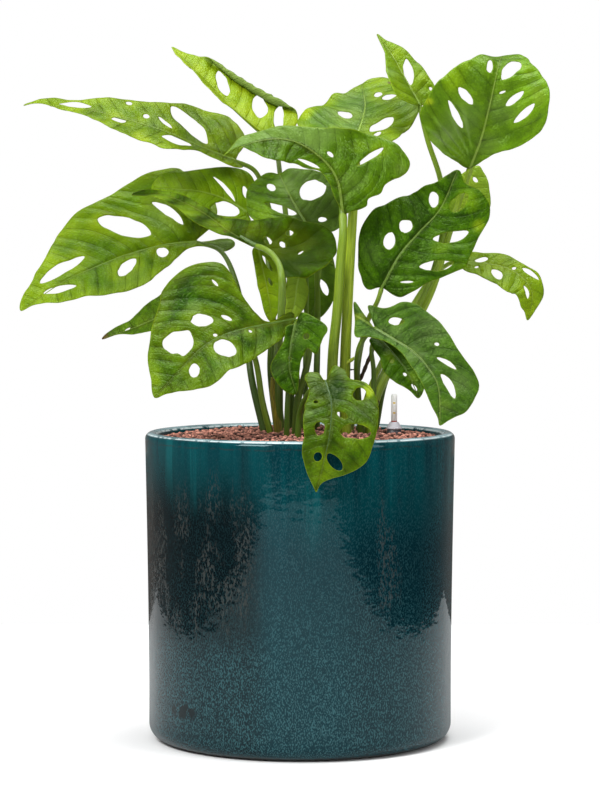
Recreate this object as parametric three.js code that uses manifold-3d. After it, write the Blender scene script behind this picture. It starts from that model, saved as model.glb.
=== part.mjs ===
// Monstera obliqua in a glazed ceramic pot, grown in clay granules with a water gauge.
// Millimetres, +Z up. The origin is the middle of the pot's flat underside and the plant's front faces -Y.
import * as THREE from 'three';
import Module from 'manifold-3d';

const wasm = await Module();
wasm.setup();

// Pot
const potHeight = 278;
const rimRadius = 140;
const waistRadius = 136.5;
const footRadius = 137;
const footRound = 15;
const wall = 12;
const floorThickness = 16;
const lipRadius = wall / 2;
const potSides = 44;

// Granule fill
const clear = 0.3;
const fillTop = potHeight - 5;
const fillMound = 5;
const granulePitch = 8.4;
const granuleRelief = 1.5;

// Water gauge
const gaugeX = 85;
const gaugeY = -4;
const housingRadius = 6.6;
const housingWall = 1.2;
const housingTop = fillTop + 7;
const capHeight = 6.5;
const capRadius = 7.3;
const capFloor = 1.2;
const sightRadius = 2.7;
const sightBore = 1.9;
const sightLength = 30;
const rodRadius = 1.4;
const rodTop = housingTop + 7;
const floatRadius = 4.6;
const floatLength = 30;
const gaugeSides = 16;

// Leaves and stalks
const bladeThickness = 0.9;
const latticeStep = 25;
const stalkSides = 6;
const stalkDepth = 52;
const holeClear = 0.4;

const greens = {
  bright: '#6f8f1c',
  mid: '#4c7420',
  deep: '#2c5a22',
  olive: '#5c6f20',
  pale: '#8a9a55',
};

// One record for each leaf, read by eye from the plant and rounded to whole millimetres.
// rib: points in space along the midrib, from the stalk to the tip.
// face: the way the upper side looks at the base, the middle and the tip.
// fold: degrees by which the left and right halves rise from the midrib, at base and tip.
// bend: degrees in 100 mm by which each half curls towards its edge.
// wave: height, length and start angle of the ripple along the edge.
// roll: side, start, distance from the midrib at start and tip, and degrees per mm of a rolled margin.
// left, right: the edge on the flat leaf, [across, along], from base to tip.
// holes: [across, along, half length, half width, angle] on the flat leaf.
// underside: 1 where the readings look at the lower side, so the stalk joins the blade there.
// stalk: points from the blade down; root: where the stalk enters the granules.
const leaves = [
  {
    name: 'leaf_upper_left',
    colour: 'mid',
    rib: [[-59, 66, 525], [-88, 60, 536], [-124, 54, 551], [-165, 50, 563], [-206, 46, 572], [-253, 44, 574]],
    face: [[0.1, -0.5, 0.85], [0.1, -0.45, 0.9], [0.1, -0.45, 0.9]],
    fold: [-5, 5, 20, 6],
    bend: [-10, -10],
    wave: [1.2, 60, 0],
    left: [[-9, -7], [-13, 9], [-9, 35], [-32, 63], [-30, 82], [-29, 112], [-16, 141], [-6, 169], [5, 188]],
    right: [[29, -5], [41, 4], [51, 19], [52, 46], [39, 78], [30, 118], [15, 154], [17, 176], [10, 193]],
    holes: [
      [6, 157, 15, 5.5, -90], [-5, 115, 7, 4.5, -73], [26, 109, 3, 3, -130], [12, 91, 3, 3, -111],
      [11, 73, 9, 2.5, -126], [22, 51, 25, 10, -124], [-10, 59, 15, 7, -75],
    ],
    stalk: [[-41, 80, 514], [-30, 94, 484], [-19, 86, 433], [-7, 62, 359]],
    root: [1, 44],
    radius: [2.2, 3],
  },
  {
    name: 'leaf_top_left',
    colour: 'bright',
    rib: [[-29, 46, 545], [-46, 50, 559], [-69, 58, 580], [-89, 66, 601], [-105, 74, 616], [-119, 82, 630]],
    face: [[0.4, -0.72, 0.55]],
    fold: [44, 35, 0, 0],
    bend: [0, -12],
    roll: [1, -30, 57, 7, 20],
    left: [[-14, 4], [-22, 22], [-26, 46], [-23, 72], [-16, 96], [-7, 116]],
    right: [[15, -9], [38, -7], [54, 5], [56, 20], [49, 45], [41, 67], [32, 87], [21, 102], [9, 115]],
    holes: [[13, 71, 15, 6.5, -118], [26, 31, 16, 7.5, -138], [29, 8, 19, 5, -148], [-11, 39, 13, 3.5, 80]],
    stalk: [[-22, 64, 534], [-18, 94, 507], [-13, 86, 470], [-9, 54, 396], [-8, 28, 323]],
    root: [-8, 20],
    radius: [2.2, 3],
  },
  {
    name: 'leaf_left_large',
    colour: 'mid',
    rib: [[-96, 84, 450], [-125, 76, 447], [-162, 60, 437], [-193, 42, 424], [-219, 24, 411], [-252, 0, 387]],
    face: [[-0.1, -0.87, 0.5]],
    fold: [8, 4, 8, 4],
    bend: [-8, -12],
    wave: [1.5, 70, 40],
    left: [
      [0, -30], [-9, -35], [-16, -20], [-8, -6], [-8, 8], [-24, 35], [-38, 66], [-39, 86], [-35, 112],
      [-27, 136], [-17, 160], [-4, 178],
    ],
    right: [
      [18, -21], [49, -24], [74, -2], [79, 18], [78, 30], [70, 51], [62, 71], [59, 89], [50, 110],
      [30, 138], [18, 162], [9, 183],
    ],
    holes: [
      [29, 59, 24, 10.5, -129], [32, 20, 17, 3.5, -148], [-8, 36, 6, 5.5, -74], [-14, 77, 14, 5.5, -66],
      [13, 131, 26, 5.5, -86], [-5, 148, 16, 4, -111],
    ],
    stalk: [[-73, 78, 440], [-59, 64, 411], [-50, 42, 368], [-44, 18, 324]],
    root: [-33, 4],
    radius: [1.9, 3.4],
  },
  {
    name: 'leaf_left_behind',
    colour: 'bright',
    rib: [[-48, 66, 477], [-69, 66, 489], [-92, 64, 496], [-115, 62, 498], [-137, 60, 499]],
    face: [[-0.1, -0.75, 0.65]],
    fold: [10, 5, 10, 5],
    bend: [-10, -15],
    wave: [1.2, 50, 0],
    left: [[-10, -6], [-25, 13], [-33, 45], [-21, 72], [-9, 88]],
    right: [[15, -1], [30, 11], [35, 22], [31, 40], [23, 59], [20, 77], [11, 89]],
    holes: [[11, 28, 15, 2, -125], [16, 12, 6, 2.5, -141], [-12, 21, 16, 9, -61]],
    stalk: [[-37, 68, 468], [-31, 66, 442], [-26, 54, 396], [-21, 40, 323]],
    root: [-17, 38],
    radius: [1.9, 3],
  },
  {
    name: 'leaf_centre_olive',
    colour: 'olive',
    rib: [[-39, -34, 444], [-64, -24, 459], [-90, -10, 477], [-122, 8, 491], [-153, 24, 492]],
    face: [[0.05, -0.75, 0.65], [0, -0.65, 0.75], [0, -0.6, 0.8]],
    fold: [25, 25, 0, 0],
    bend: [0, -14],
    wave: [1.2, 60, 90],
    left: [[-2, 3], [-5, 18], [-15, 34], [-23, 48], [-21, 67], [-18, 92], [-14, 112]],
    right: [
      [1, -12], [-6, -25], [-16, -36], [-19, -45], [-2, -54], [20, -61], [41, -59], [55, -48], [65, -31], [54, -11], [37, 9],
      [19, 33], [8, 48], [7, 63], [8, 82], [6, 108], [8, 129],
    ],
    holes: [[13, -3, 5, 3, -107], [18, -16, 3, 3.5, -39], [33, -13, 4, 2.5, -19], [23, -33, 4, 1, -3]],
    underside: 1,
    stalk: [
      [-30, -44, 442], [-23, -51, 436], [-18, -60, 427], [-16, -66, 415], [-16, -57, 399],
      [-17, -45, 380], [-19, -33, 357], [-19, -24, 330],
    ],
    root: [-19, -14],
    radius: [2.6, 3.8],
  },
  {
    name: 'leaf_centre_behind',
    colour: 'deep',
    rib: [[5, 28, 467], [-3, 36, 480], [-11, 48, 495], [-19, 62, 512]],
    face: [[-0.05, -0.78, 0.62]],
    fold: [8, 4, 8, 4],
    bend: [-12, -18],
    wave: [1.2, 50, 0],
    left: [[-20, 0], [-37, 13], [-44, 29], [-40, 41], [-30, 57], [-15, 66], [-6, 65]],
    right: [[7, -16], [24, -20], [34, -12], [36, 1], [37, 19], [39, 44], [26, 55], [12, 63]],
    holes: [[-13, 48, 5, 3.5, -74], [-14, 22, 15, 4, -43], [22, 30, 12, 13.5, -48], [15, -5, 4, 2.5, -27]],
    stalk: [[10, 38, 451], [15, 38, 424], [16, 28, 369], [15, 20, 324]],
    root: [15, 18],
    radius: [2.2, 3.2],
  },
  {
    name: 'leaf_top_centre',
    colour: 'bright',
    rib: [[50, 10, 541], [56, 34, 558], [60, 62, 575], [58, 98, 597]],
    face: [[0, -0.6, 0.8]],
    fold: [6, 4, 6, 4],
    bend: [-20, -35],
    wave: [1.4, 55, 30],
    left: [[-19, -20], [-44, -10], [-57, 17], [-57, 33], [-46, 51], [-30, 83], [-18, 85], [-8, 97]],
    right: [[30, 3], [41, 28], [47, 48], [51, 66], [50, 97], [38, 107], [22, 117], [9, 114]],
    holes: [
      [-17, 40, 7, 6.5, -25], [13, 82, 6, 3.5, 66], [23, 77, 10, 5, 56], [19, 31, 17, 6.5, 61],
      [18, 13, 5, 2.5, 67], [-14, 5, 7, 4, -14],
    ],
    stalk: [[50, -4, 514], [47, -17, 473], [44, -19, 424], [41, -18, 361], [40, -16, 316]],
    root: [41, -14],
    radius: [4, 5.2],
  },
  {
    name: 'leaf_front_arching',
    colour: 'deep',
    rib: [[38, -36, 475], [33, -28, 504], [18, -24, 524], [-9, -26, 539], [-40, -36, 537], [-68, -52, 524]],
    face: [[0, -0.95, 0.3], [-0.1, -0.8, 0.6], [-0.3, -0.8, 0.5]],
    fold: [5, 5, 5, 5],
    bend: [-10, -20],
    wave: [1.2, 60, 0],
    roll: [1, 45, 26, 8, 10],
    left: [[-7, 20], [-10, 46], [-20, 66], [-26, 103], [-24, 123], [-9, 129], [2, 137]],
    right: [
      [6, -1], [21, 2], [24, 9], [35, 13], [41, 19], [55, 22], [64, 25], [68, 28], [66, 33], [62, 38],
      [42, 51], [21, 74], [12, 105], [11, 128], [6, 140],
    ],
    holes: [[-12, 62, 13, 2, -72], [36, 36, 15, 1.5, 6], [9, 52, 3, 2, -95]],
    stalk: [[38, -39, 455], [36, -37, 433], [33, -31, 388], [29, -28, 344]],
    root: [28, -24],
    radius: [3.8, 5],
  },
  {
    name: 'leaf_top_right',
    colour: 'bright',
    rib: [[110, 32, 573], [101, 40, 590], [92, 50, 607], [84, 60, 622], [71, 74, 641]],
    face: [[0.3, -0.9, 0.4]],
    fold: [30, 20, 10, 5],
    bend: [0, -10],
    left: [[-13, 1], [-27, 9], [-28, 23], [-20, 43], [-7, 67]],
    right: [[11, 0], [21, 12], [21, 23], [20, 41], [15, 58], [9, 72], [4, 80]],
    holes: [[6, 38, 15, 4.5, -107], [17, 13, 2, 1.5, -93]],
    stalk: [
      [116, 28, 542], [128, 32, 506], [132, 44, 474], [128, 44, 442], [115, 36, 403], [91, 24, 360],
      [65, 18, 305],
    ],
    root: [54, 18],
    radius: [2.4, 3.4],
  },
  {
    name: 'leaf_upper_right',
    colour: 'deep',
    rib: [[154, 16, 516], [163, 6, 541], [170, 2, 569], [176, 4, 596], [180, 14, 611], [184, 36, 618]],
    face: [[0.1, -1, 0.1], [0.1, -1, 0.1], [0.1, -0.3, 0.95]],
    middle: 0.72,
    fold: [10, 5, 10, 18],
    bend: [-12, -30],
    wave: [1.6, 60, 0],
    left: [[-12, 1], [-32, 8], [-49, 18], [-60, 40], [-55, 61], [-47, 75], [-34, 90], [-24, 98], [-11, 110]],
    right: [
      [10, 13], [20, 24], [35, 32], [46, 42], [52, 57], [51, 72], [47, 88], [38, 103], [29, 112],
      [22, 123], [10, 131],
    ],
    holes: [
      [-8, 94, 6, 3, -85], [12, 97, 14, 6.5, 65], [-23, 64, 10, 4, -37], [9, 74, 3, 1, 29],
      [21, 71, 10, 3, 51], [32, 60, 12, 3, 55], [-29, 46, 14, 3, -49],
    ],
    stalk: [[151, 26, 504], [144, 34, 483], [134, 28, 451], [120, 18, 406], [99, 8, 365], [72, 2, 315]],
    root: [62, 0],
    radius: [2.8, 3.8],
  },
  {
    name: 'leaf_right_large',
    colour: 'deep',
    rib: [[73, -20, 408], [89, -20, 437], [107, -16, 458], [126, -8, 479], [142, 2, 514]],
    face: [[0, -0.95, 0.3]],
    fold: [8, 4, 8, 4],
    bend: [-12, -15],
    wave: [1.4, 60, 60],
    left: [[-10, -7], [-22, 0], [-33, 16], [-42, 34], [-43, 50], [-36, 70], [-25, 98], [-13, 112]],
    right: [
      [19, 1], [34, 22], [48, 52], [54, 63], [48, 78], [43, 89], [43, 101], [38, 111], [26, 119],
      [12, 121],
    ],
    holes: [
      [-13, 57, 6, 6, -1], [-15, 38, 5, 7, 38], [-9, 95, 8, 4.5, -66], [13, 103, 10, 6, 70],
      [24, 75, 15, 5, 50], [32, 46, 16, 4.5, 48], [18, 15, 6, 1, 29],
    ],
    stalk: [[69, -16, 395], [60, -2, 375], [53, 8, 342], [50, 8, 306]],
    root: [46, 6],
    radius: [2.2, 2.8],
  },
  {
    name: 'leaf_far_right',
    colour: 'bright',
    rib: [[151, 46, 431], [174, 38, 429], [196, 28, 422], [211, 20, 404], [207, 14, 378]],
    face: [[0, -0.7, 0.7], [0.2, -0.7, 0.7], [0.6, -0.7, 0.3]],
    fold: [5, 0, 5, 0],
    bend: [-10, -8],
    wave: [1, 50, 0],
    left: [[-13, 3], [-12, 17], [-16, 31], [-12, 48], [-16, 64], [-12, 77], [-7, 88]],
    right: [[10, 2], [22, 29], [27, 61], [14, 90], [6, 96]],
    holes: [
      [-4, 15, 6, 3, 109], [6, 13, 2, 1.5, 94], [13, 38, 10, 4.5, 54], [-3, 47, 2, 1.5, 150],
      [-10, 60, 8, 3, 106], [6, 75, 8, 2.5, 92],
    ],
    stalk: [[137, 56, 429], [118, 56, 412], [96, 44, 378], [74, 36, 337], [61, 34, 305]],
    root: [57, 34],
    radius: [2, 3],
  },
  {
    name: 'leaf_right_behind',
    colour: 'pale',
    rib: [[138, 58, 471], [146, 62, 486], [154, 68, 501], [163, 76, 520]],
    face: [[0.2, -0.9, 0.3]],
    fold: [5, 5, 5, 5],
    bend: [-5, -20],
    left: [[-14, 6], [-16, 21], [-12, 37]],
    right: [[19, 4], [27, 17], [28, 31], [18, 47], [9, 56]],
    holes: [[5, 45, 2, 3, 65]],
    stalk: [[132, 66, 451], [122, 68, 414], [100, 58, 368], [79, 48, 322]],
    root: [70, 46],
    radius: [1.9, 2.8],
  },
  {
    name: 'leaf_lower_right',
    colour: 'deep',
    rib: [[66, -44, 373], [83, -54, 363], [99, -64, 353], [112, -74, 339], [121, -84, 321], [122, -94, 289]],
    face: [[0, -0.95, 0.3]],
    fold: [6, 3, 30, 20],
    bend: [-12, 0],
    wave: [1.4, 60, 0],
    left: [
      [-14, -18], [-20, -1], [-32, 8], [-38, 21], [-36, 39], [-32, 56], [-31, 72], [-35, 83], [-35, 92],
      [-23, 108], [-9, 116],
    ],
    right: [[-11, -30], [6, -18], [22, -4], [13, 6], [7, 19], [9, 36], [13, 58], [14, 85], [7, 104], [2, 115]],
    holes: [[-19, 54, 2, 1.5, 127], [-16, 70, 9, 2, 120], [-10, 87, 11, 3.5, 108], [-15, 14, 7, 3.5, 120]],
    stalk: [[56, -38, 362], [51, -30, 344], [52, -14, 312]],
    root: [55, -8],
    radius: [2.4, 3.2],
  },
  {
    name: 'leaf_lower_right_small',
    colour: 'bright',
    rib: [[69, -28, 365], [82, -36, 351], [95, -46, 334], [105, -58, 311]],
    face: [[0, -0.95, 0.2]],
    fold: [8, 4, 8, 4],
    bend: [-8, -8],
    left: [[-6, 6], [-8, 25], [-9, 46], [-9, 63]],
    right: [[9, 0], [12, 19], [17, 32], [13, 51], [5, 63]],
    holes: [[6, 28, 2, 2, 103], [3, 46, 2, 1.5, 104], [0, 61, 4, 1.5, 106]],
    stalk: [[64, -22, 354], [66, -16, 334], [66, -18, 307]],
    root: [65, -20],
    radius: [1.9, 2.6],
  },
  {
    name: 'leaf_over_rim',
    colour: 'mid',
    rib: [[22, -112, 329], [27, -132, 309], [25, -146, 284], [21, -150, 265], [14, -152, 236]],
    face: [[0, -0.9, 0.45], [0, -1, 0.15], [0, -1, 0.1]],
    fold: [5, 3, 5, 3],
    bend: [-8, -8],
    wave: [0.8, 50, 0],
    left: [
      [-10, -16], [-18, -9], [-21, 4], [-33, 15], [-39, 26], [-40, 38], [-40, 51], [-37, 66], [-31, 79],
      [-16, 90], [-3, 98],
    ],
    right: [
      [4, -10], [12, -14], [17, -7], [16, 9], [23, 27], [24, 46], [21, 61], [20, 79], [12, 93],
      [4, 103],
    ],
    holes: [
      [-25, 22, 6, 5, -164], [-9, 38, 5, 2.5, 154], [-22, 52, 13, 6.5, -179], [9, 53, 6, 4.5, 92],
      [6, 78, 4, 3.5, 74], [-9, 79, 9, 4.5, 144], [13, 23, 2, 2, 115],
    ],
    stalk: [[16, -102, 326], [7, -84, 316], [0, -66, 299]],
    root: [-2, -62],
    radius: [2.2, 2.8],
  },
  {
    name: 'leaf_lower_left',
    colour: 'mid',
    rib: [[-5, -50, 381], [-33, -64, 376], [-63, -80, 369], [-84, -94, 358], [-101, -106, 341], [-125, -124, 315]],
    face: [[-0.1, -0.9, 0.4]],
    fold: [5, 3, 8, 4],
    bend: [-8, -14],
    wave: [1.6, 60, 120],
    left: [[-16, 16], [-26, 40], [-34, 69], [-33, 112], [-22, 133], [-7, 149]],
    right: [
      [7, 2], [2, 25], [16, 36], [39, 41], [62, 43], [70, 58], [73, 69], [67, 83], [51, 99], [39, 120],
      [28, 136], [14, 149],
    ],
    holes: [
      [18, 107, 13, 11, -139], [-10, 118, 7, 4.5, 125], [-13, 79, 11, 10, -114], [21, 79, 9, 6, -127],
      [3, 78, 2, 1.5, -117], [14, 61, 5, 2, -139], [48, 58, 4, 1, -167], [-4, 46, 2, 1.5, -169],
    ],
    stalk: [[4, -44, 371], [8, -38, 353], [4, -34, 330], [-2, -34, 308]],
    root: [-4, -34],
    radius: [2.6, 3.6],
  },
  {
    name: 'leaf_far_left_small',
    colour: 'bright',
    rib: [[-94, -10, 397], [-122, -4, 384], [-149, 4, 372], [-180, 14, 361]],
    face: [[-0.1, -0.7, 0.7]],
    fold: [0, 0, 10, 5],
    bend: [-5, -12],
    left: [[-22, 10], [-17, 33], [-10, 58], [-2, 78]],
    right: [[21, 1], [25, 16], [21, 35], [18, 53], [10, 67], [9, 83]],
    holes: [[1, 70, 3, 1, -82]],
    stalk: [[-70, -12, 401], [-54, -14, 381], [-40, -18, 343], [-34, -20, 307]],
    root: [-27, -20],
    radius: [1.9, 3],
  },
  {
    name: 'leaf_centre_low',
    colour: 'mid',
    rib: [[-4, -64, 378], [-8, -70, 358], [-9, -74, 337], [-3, -78, 316]],
    face: [[0, -1, 0.2]],
    fold: [5, 3, 5, 3],
    bend: [-5, -10],
    left: [[-3, -10], [-18, -7], [-29, 1], [-26, 12], [-23, 26], [-15, 22], [-11, 32], [-7, 50]],
    right: [[8, 6], [7, 16], [11, 29], [17, 40], [15, 50], [8, 61]],
    holes: [[-12, 11, 3, 2.5, -120], [0, 33, 2, 1, 114]],
    stalk: [[-6, -60, 362], [-9, -56, 340], [-11, -52, 309]],
    root: [-12, -50],
    radius: [1.9, 2.6],
  },
  {
    name: 'leaf_narrow',
    colour: 'bright',
    rib: [[-38, 8, 445], [-34, 6, 426], [-29, 4, 404], [-25, 2, 377]],
    face: [[-0.3, -0.9, 0.1]],
    fold: [15, 10, 15, 10],
    bend: [0, 0],
    left: [[-12, 6], [-18, 25], [-16, 44], [-9, 60]],
    right: [[6, 3], [7, 19], [8, 41], [5, 63]],
    holes: [[-6, 17, 9, 2, 114], [-5, 34, 4, 2, 110]],
    stalk: [[-33, 14, 453], [-26, 18, 431], [-25, 14, 378], [-27, 6, 333]],
    root: [-21, 8],
    radius: [1.9, 3],
  },
  {
    name: 'leaf_pale_low',
    colour: 'pale',
    rib: [[0, 6, 422], [-3, 2, 408], [-5, 0, 393], [-11, -2, 375]],
    face: [[0.1, -1, 0.1]],
    fold: [5, 5, 5, 5],
    bend: [0, 0],
    left: [[-6, 5], [-11, 17], [-10, 29], [-6, 39]],
    right: [[7, 5], [10, 17], [8, 30], [6, 41]],
    holes: [],
    stalk: [[4, 12, 429], [6, 16, 406], [5, 10, 360], [5, 4, 306]],
    root: [5, 2],
    radius: [1.9, 2.6],
  },
  {
    name: 'leaf_dark_low',
    colour: 'deep',
    rib: [[20, 56, 431], [18, 54, 414], [15, 52, 396], [7, 50, 374]],
    face: [[0, -1, 0.1]],
    fold: [5, 5, 5, 5],
    bend: [0, 0],
    left: [[-11, 1], [-17, 16], [-16, 32], [-10, 48]],
    right: [[14, 7], [16, 24], [12, 41], [6, 53]],
    holes: [[-5, 23, 8, 3, 121]],
    stalk: [[28, 62, 436], [33, 60, 396], [31, 48, 322]],
    root: [29, 44],
    radius: [1.9, 2.8],
  },
];

// The dry aerial root: points from its free end down, and where it enters the granules.
const aerialRoot = {
  path: [[68, 4, 356], [62, 10, 342], [55, 16, 325], [46, 18, 311]],
  root: [42, 18],
  radius: [1.6, 2],
};

const radians = THREE.MathUtils.degToRad;
const lerp = THREE.MathUtils.lerp;
const clamp = THREE.MathUtils.clamp;
const V3 = THREE.Vector3;
const V2 = THREE.Vector2;

function material(colour, roughness, metalness = 0) {
  return new THREE.MeshStandardMaterial({ color: colour, roughness, metalness });
}

// Solid bodies are joined and cut through this pair.
function toSolid(geometry) {
  const position = geometry.attributes.position;
  const index = geometry.index;
  const seen = new Map();
  const vertices = [];
  const triangles = [];
  const count = index ? index.count : position.count;
  for (let i = 0; i < count; i++) {
    const k = index ? index.getX(i) : i;
    const p = [position.getX(k), position.getY(k), position.getZ(k)];
    const key = p.map((v) => Math.round(v * 1e4)).join(' ');
    if (!seen.has(key)) {
      seen.set(key, vertices.length / 3);
      vertices.push(...p);
    }
    triangles.push(seen.get(key));
  }
  const kept = [];
  for (let i = 0; i < triangles.length; i += 3) {
    const [a, b, c] = triangles.slice(i, i + 3);
    if (a !== b && b !== c && c !== a) kept.push(a, b, c);
  }
  return new wasm.Manifold(new wasm.Mesh({
    numProp: 3,
    vertProperties: new Float32Array(vertices),
    triVerts: new Uint32Array(kept),
  }));
}

function toGeometry(solid) {
  const mesh = solid.getMesh();
  const geometry = new THREE.BufferGeometry();
  const vertices = new Float32Array(mesh.vertProperties);
  geometry.setAttribute('position', new THREE.BufferAttribute(vertices, 3));
  geometry.setIndex(new THREE.BufferAttribute(new Uint32Array(mesh.triVerts), 1));
  geometry.computeVertexNormals();
  return geometry;
}

function indexed(points, triangles) {
  const geometry = new THREE.BufferGeometry();
  geometry.setAttribute('position', new THREE.Float32BufferAttribute(points.flat(), 3));
  geometry.setIndex(triangles.flat());
  return geometry;
}

function lathe(profile, sides) {
  const geometry = new THREE.LatheGeometry(profile.map(([r, z]) => new V2(r, z)), sides);
  return geometry.rotateX(Math.PI / 2);
}

// Quarter and half rounds of a profile, from one angle to another in even steps.
function arc(cx, cz, radius, from, to, steps) {
  return Array.from({ length: steps + 1 }, (_, i) => {
    const a = radians(lerp(from, to, i / steps));
    return [cx + radius * Math.cos(a), cz + radius * Math.sin(a)];
  });
}

// The inner wall follows the outer one, and the floor meets it in a round.
function outerRadius(z) {
  const t = clamp((z - footRound) / (potHeight - lipRadius - footRound), 0, 1);
  const foot = (footRadius - waistRadius) * (1 - t) ** 4;
  const rim = (rimRadius - waistRadius) * t ** 1.5;
  return waistRadius + foot + rim;
}

function innerProfile(gap) {
  const round = 14 - gap;
  const levels = [60, 130, 200, 250];
  const low = floorThickness + gap;
  const r = (z) => outerRadius(z) - wall - gap;
  const corner = arc(r(low + round) - round, low + round, round, -90, 0, 3);
  return [[0, low], ...corner, ...levels.map((z) => [r(z), z])];
}

function pot() {
  const crest = potHeight - lipRadius;
  const levels = [40, 100, 160, 210, 245];
  const lip = arc(outerRadius(crest) - lipRadius, crest, lipRadius, 0, 180, 5);
  const profile = [
    [0, 0],
    ...arc(outerRadius(footRound) - footRound, footRound, footRound, -90, 0, 4),
    ...levels.map((z) => [outerRadius(z), z]),
    ...lip,
    ...innerProfile(0).reverse(),
  ];
  return lathe(profile, potSides);
}

// Triangles of a flat region with inner points, with the edges of the outline and the holes kept.
function triangulate(outline, holes, inner) {
  const rings = [outline, ...holes];
  const points = rings.flat();
  const fixed = new Set();
  let start = 0;
  const key = (a, b) => (a < b ? `${a} ${b}` : `${b} ${a}`);
  for (const ring of rings) {
    ring.forEach((_, i) => fixed.add(key(start + i, start + ((i + 1) % ring.length))));
    start += ring.length;
  }
  const asVectors = (ring) => ring.map(([x, y]) => new V2(x, y));
  const faces = THREE.ShapeUtils.triangulateShape(asVectors(outline), holes.map(asVectors));
  const cross = (a, b, c) => {
    const [p, q, r] = [points[a], points[b], points[c]];
    return (q[0] - p[0]) * (r[1] - p[1]) - (q[1] - p[1]) * (r[0] - p[0]);
  };
  const turned = ([a, b, c]) => (cross(a, b, c) < 0 ? [a, c, b] : [a, b, c]);
  let triangles = faces.map(turned);
  for (const point of inner) {
    const n = points.push(point) - 1;
    const home = triangles.findIndex(([a, b, c]) => (
      cross(a, b, n) > 1e-6 && cross(b, c, n) > 1e-6 && cross(c, a, n) > 1e-6
    ));
    if (home < 0) {
      points.pop();
      continue;
    }
    const [a, b, c] = triangles[home];
    triangles.splice(home, 1, [a, b, n], [b, c, n], [c, a, n]);
    triangles = flip(points, triangles, fixed, key, cross);
  }
  triangles = flip(points, triangles, fixed, key, cross);
  return { points, triangles };
}

// Edges are swapped until each circle through a triangle is empty.
function flip(points, triangles, fixed, key, cross) {
  const inCircle = (a, b, c, d) => {
    const rows = [a, b, c].map((i) => {
      const dx = points[i][0] - points[d][0];
      const dy = points[i][1] - points[d][1];
      return [dx, dy, dx * dx + dy * dy];
    });
    const [p, q, r] = rows;
    return p[0] * (q[1] * r[2] - q[2] * r[1]) - p[1] * (q[0] * r[2] - q[2] * r[0])
      + p[2] * (q[0] * r[1] - q[1] * r[0]);
  };
  for (let pass = 0; pass < 200; pass++) {
    const owner = new Map();
    triangles.forEach(([a, b, c], t) => {
      [[a, b, c], [b, c, a], [c, a, b]].forEach(([u, v, w]) => {
        const k = key(u, v);
        if (!owner.has(k)) owner.set(k, []);
        owner.get(k).push([t, u, v, w]);
      });
    });
    const done = new Set();
    let changed = false;
    for (const [k, sides] of owner) {
      if (fixed.has(k) || sides.length !== 2) continue;
      const [[t1, u, v, w], [t2, , , x]] = sides;
      if (done.has(t1) || done.has(t2)) continue;
      if (inCircle(u, v, w, x) <= 1e-6) continue;
      if (cross(u, x, w) <= 1e-6 || cross(x, v, w) <= 1e-6) continue;
      triangles[t1] = [u, x, w];
      triangles[t2] = [x, v, w];
      done.add(t1).add(t2);
      changed = true;
    }
    if (!changed) break;
  }
  return triangles;
}

// Hermite curve through points in space, with its ends carried straight on.
function pathThrough(points) {
  const p = points.map((q) => new V3(...q));
  const curve = new THREE.CatmullRomCurve3(p, false, 'catmullrom', 0.5);
  return { p, curve, length: curve.getLength() };
}

// The bent leaf: a point of the flat leaf goes to its place in space.
function leafSurface(leaf) {
  const { curve, length } = pathThrough(leaf.rib);
  const faces = leaf.face.length === 3 ? leaf.face : [leaf.face[0], leaf.face[0], leaf.face[0]];
  const [base, mid, tip] = faces.map((v) => new V3(...v).normalize());
  const middle = leaf.middle ?? 0.5;
  const [leftBase, leftTip, rightBase, rightTip] = leaf.fold;

  function frame(y) {
    const f = clamp(y / length, 0, 1);
    const point = curve.getPointAt(f);
    const along = curve.getTangentAt(f);
    point.addScaledVector(along, y - f * length);
    const look = f < middle
      ? base.clone().lerp(mid, f / middle)
      : mid.clone().lerp(tip, (f - middle) / (1 - middle));
    const up = look.addScaledVector(along, -look.dot(along)).normalize();
    const right = along.clone().cross(up);
    return { f, point, up, right };
  }

  return function at(x, y) {
    const { f, point, up, right } = frame(y);
    const isRight = x >= 0;
    const u = Math.abs(x);
    const a = radians(isRight ? lerp(rightBase, rightTip, f) : lerp(leftBase, leftTip, f));
    const k = radians(leaf.bend[isRight ? 1 : 0]) / 100;
    let rolled = 0;
    let limit = Infinity;
    if (leaf.roll && (leaf.roll[0] > 0) === isRight) {
      const [, begin, atStart, atTip, rate] = leaf.roll;
      const s = THREE.MathUtils.smoothstep(y, begin, begin + 25);
      limit = lerp(atStart, atTip, clamp((y - begin) / (length - begin), 0, 1));
      rolled = radians(rate) * s;
    }
    const flat = Math.min(u, limit);
    let [across, high] = curl(a, k, flat);
    if (u > limit) {
      const [dx, dh] = curl(a + k * limit, k + rolled, u - limit);
      across += dx;
      high += dh;
    }
    if (leaf.wave) {
      const [height, wavelength, phase] = leaf.wave;
      const fade = Math.min((flat / 30) ** 2, 2);
      high += height * fade * Math.sin((2 * Math.PI * y) / wavelength + radians(phase) + (isRight ? 0 : 2));
    }
    return point.addScaledVector(right, isRight ? across : -across).addScaledVector(up, high);
  };
}

// Distance across and height of an arc that starts at a given angle.
function curl(angle, curvature, length) {
  if (Math.abs(curvature) < 1e-6) return [length * Math.cos(angle), length * Math.sin(angle)];
  const end = angle + curvature * length;
  return [(Math.sin(end) - Math.sin(angle)) / curvature, (Math.cos(angle) - Math.cos(end)) / curvature];
}

function leafOutline(leaf, length) {
  const points = [[0, 0], ...leaf.left, [0, length], ...[...leaf.right].reverse()];
  const curve = new THREE.CatmullRomCurve3(points.map(([x, y]) => new V3(x, y, 0)), true, 'catmullrom', 0.5);
  const outline = [];
  points.forEach((p, i) => {
    const q = points[(i + 1) % points.length];
    const pieces = Math.hypot(q[0] - p[0], q[1] - p[1]) > 21 ? 2 : 1;
    for (let j = 0; j < pieces; j++) {
      const v = curve.getPoint((i + j / pieces) / points.length);
      outline.push([v.x, v.y]);
    }
  });
  return outline;
}

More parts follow.
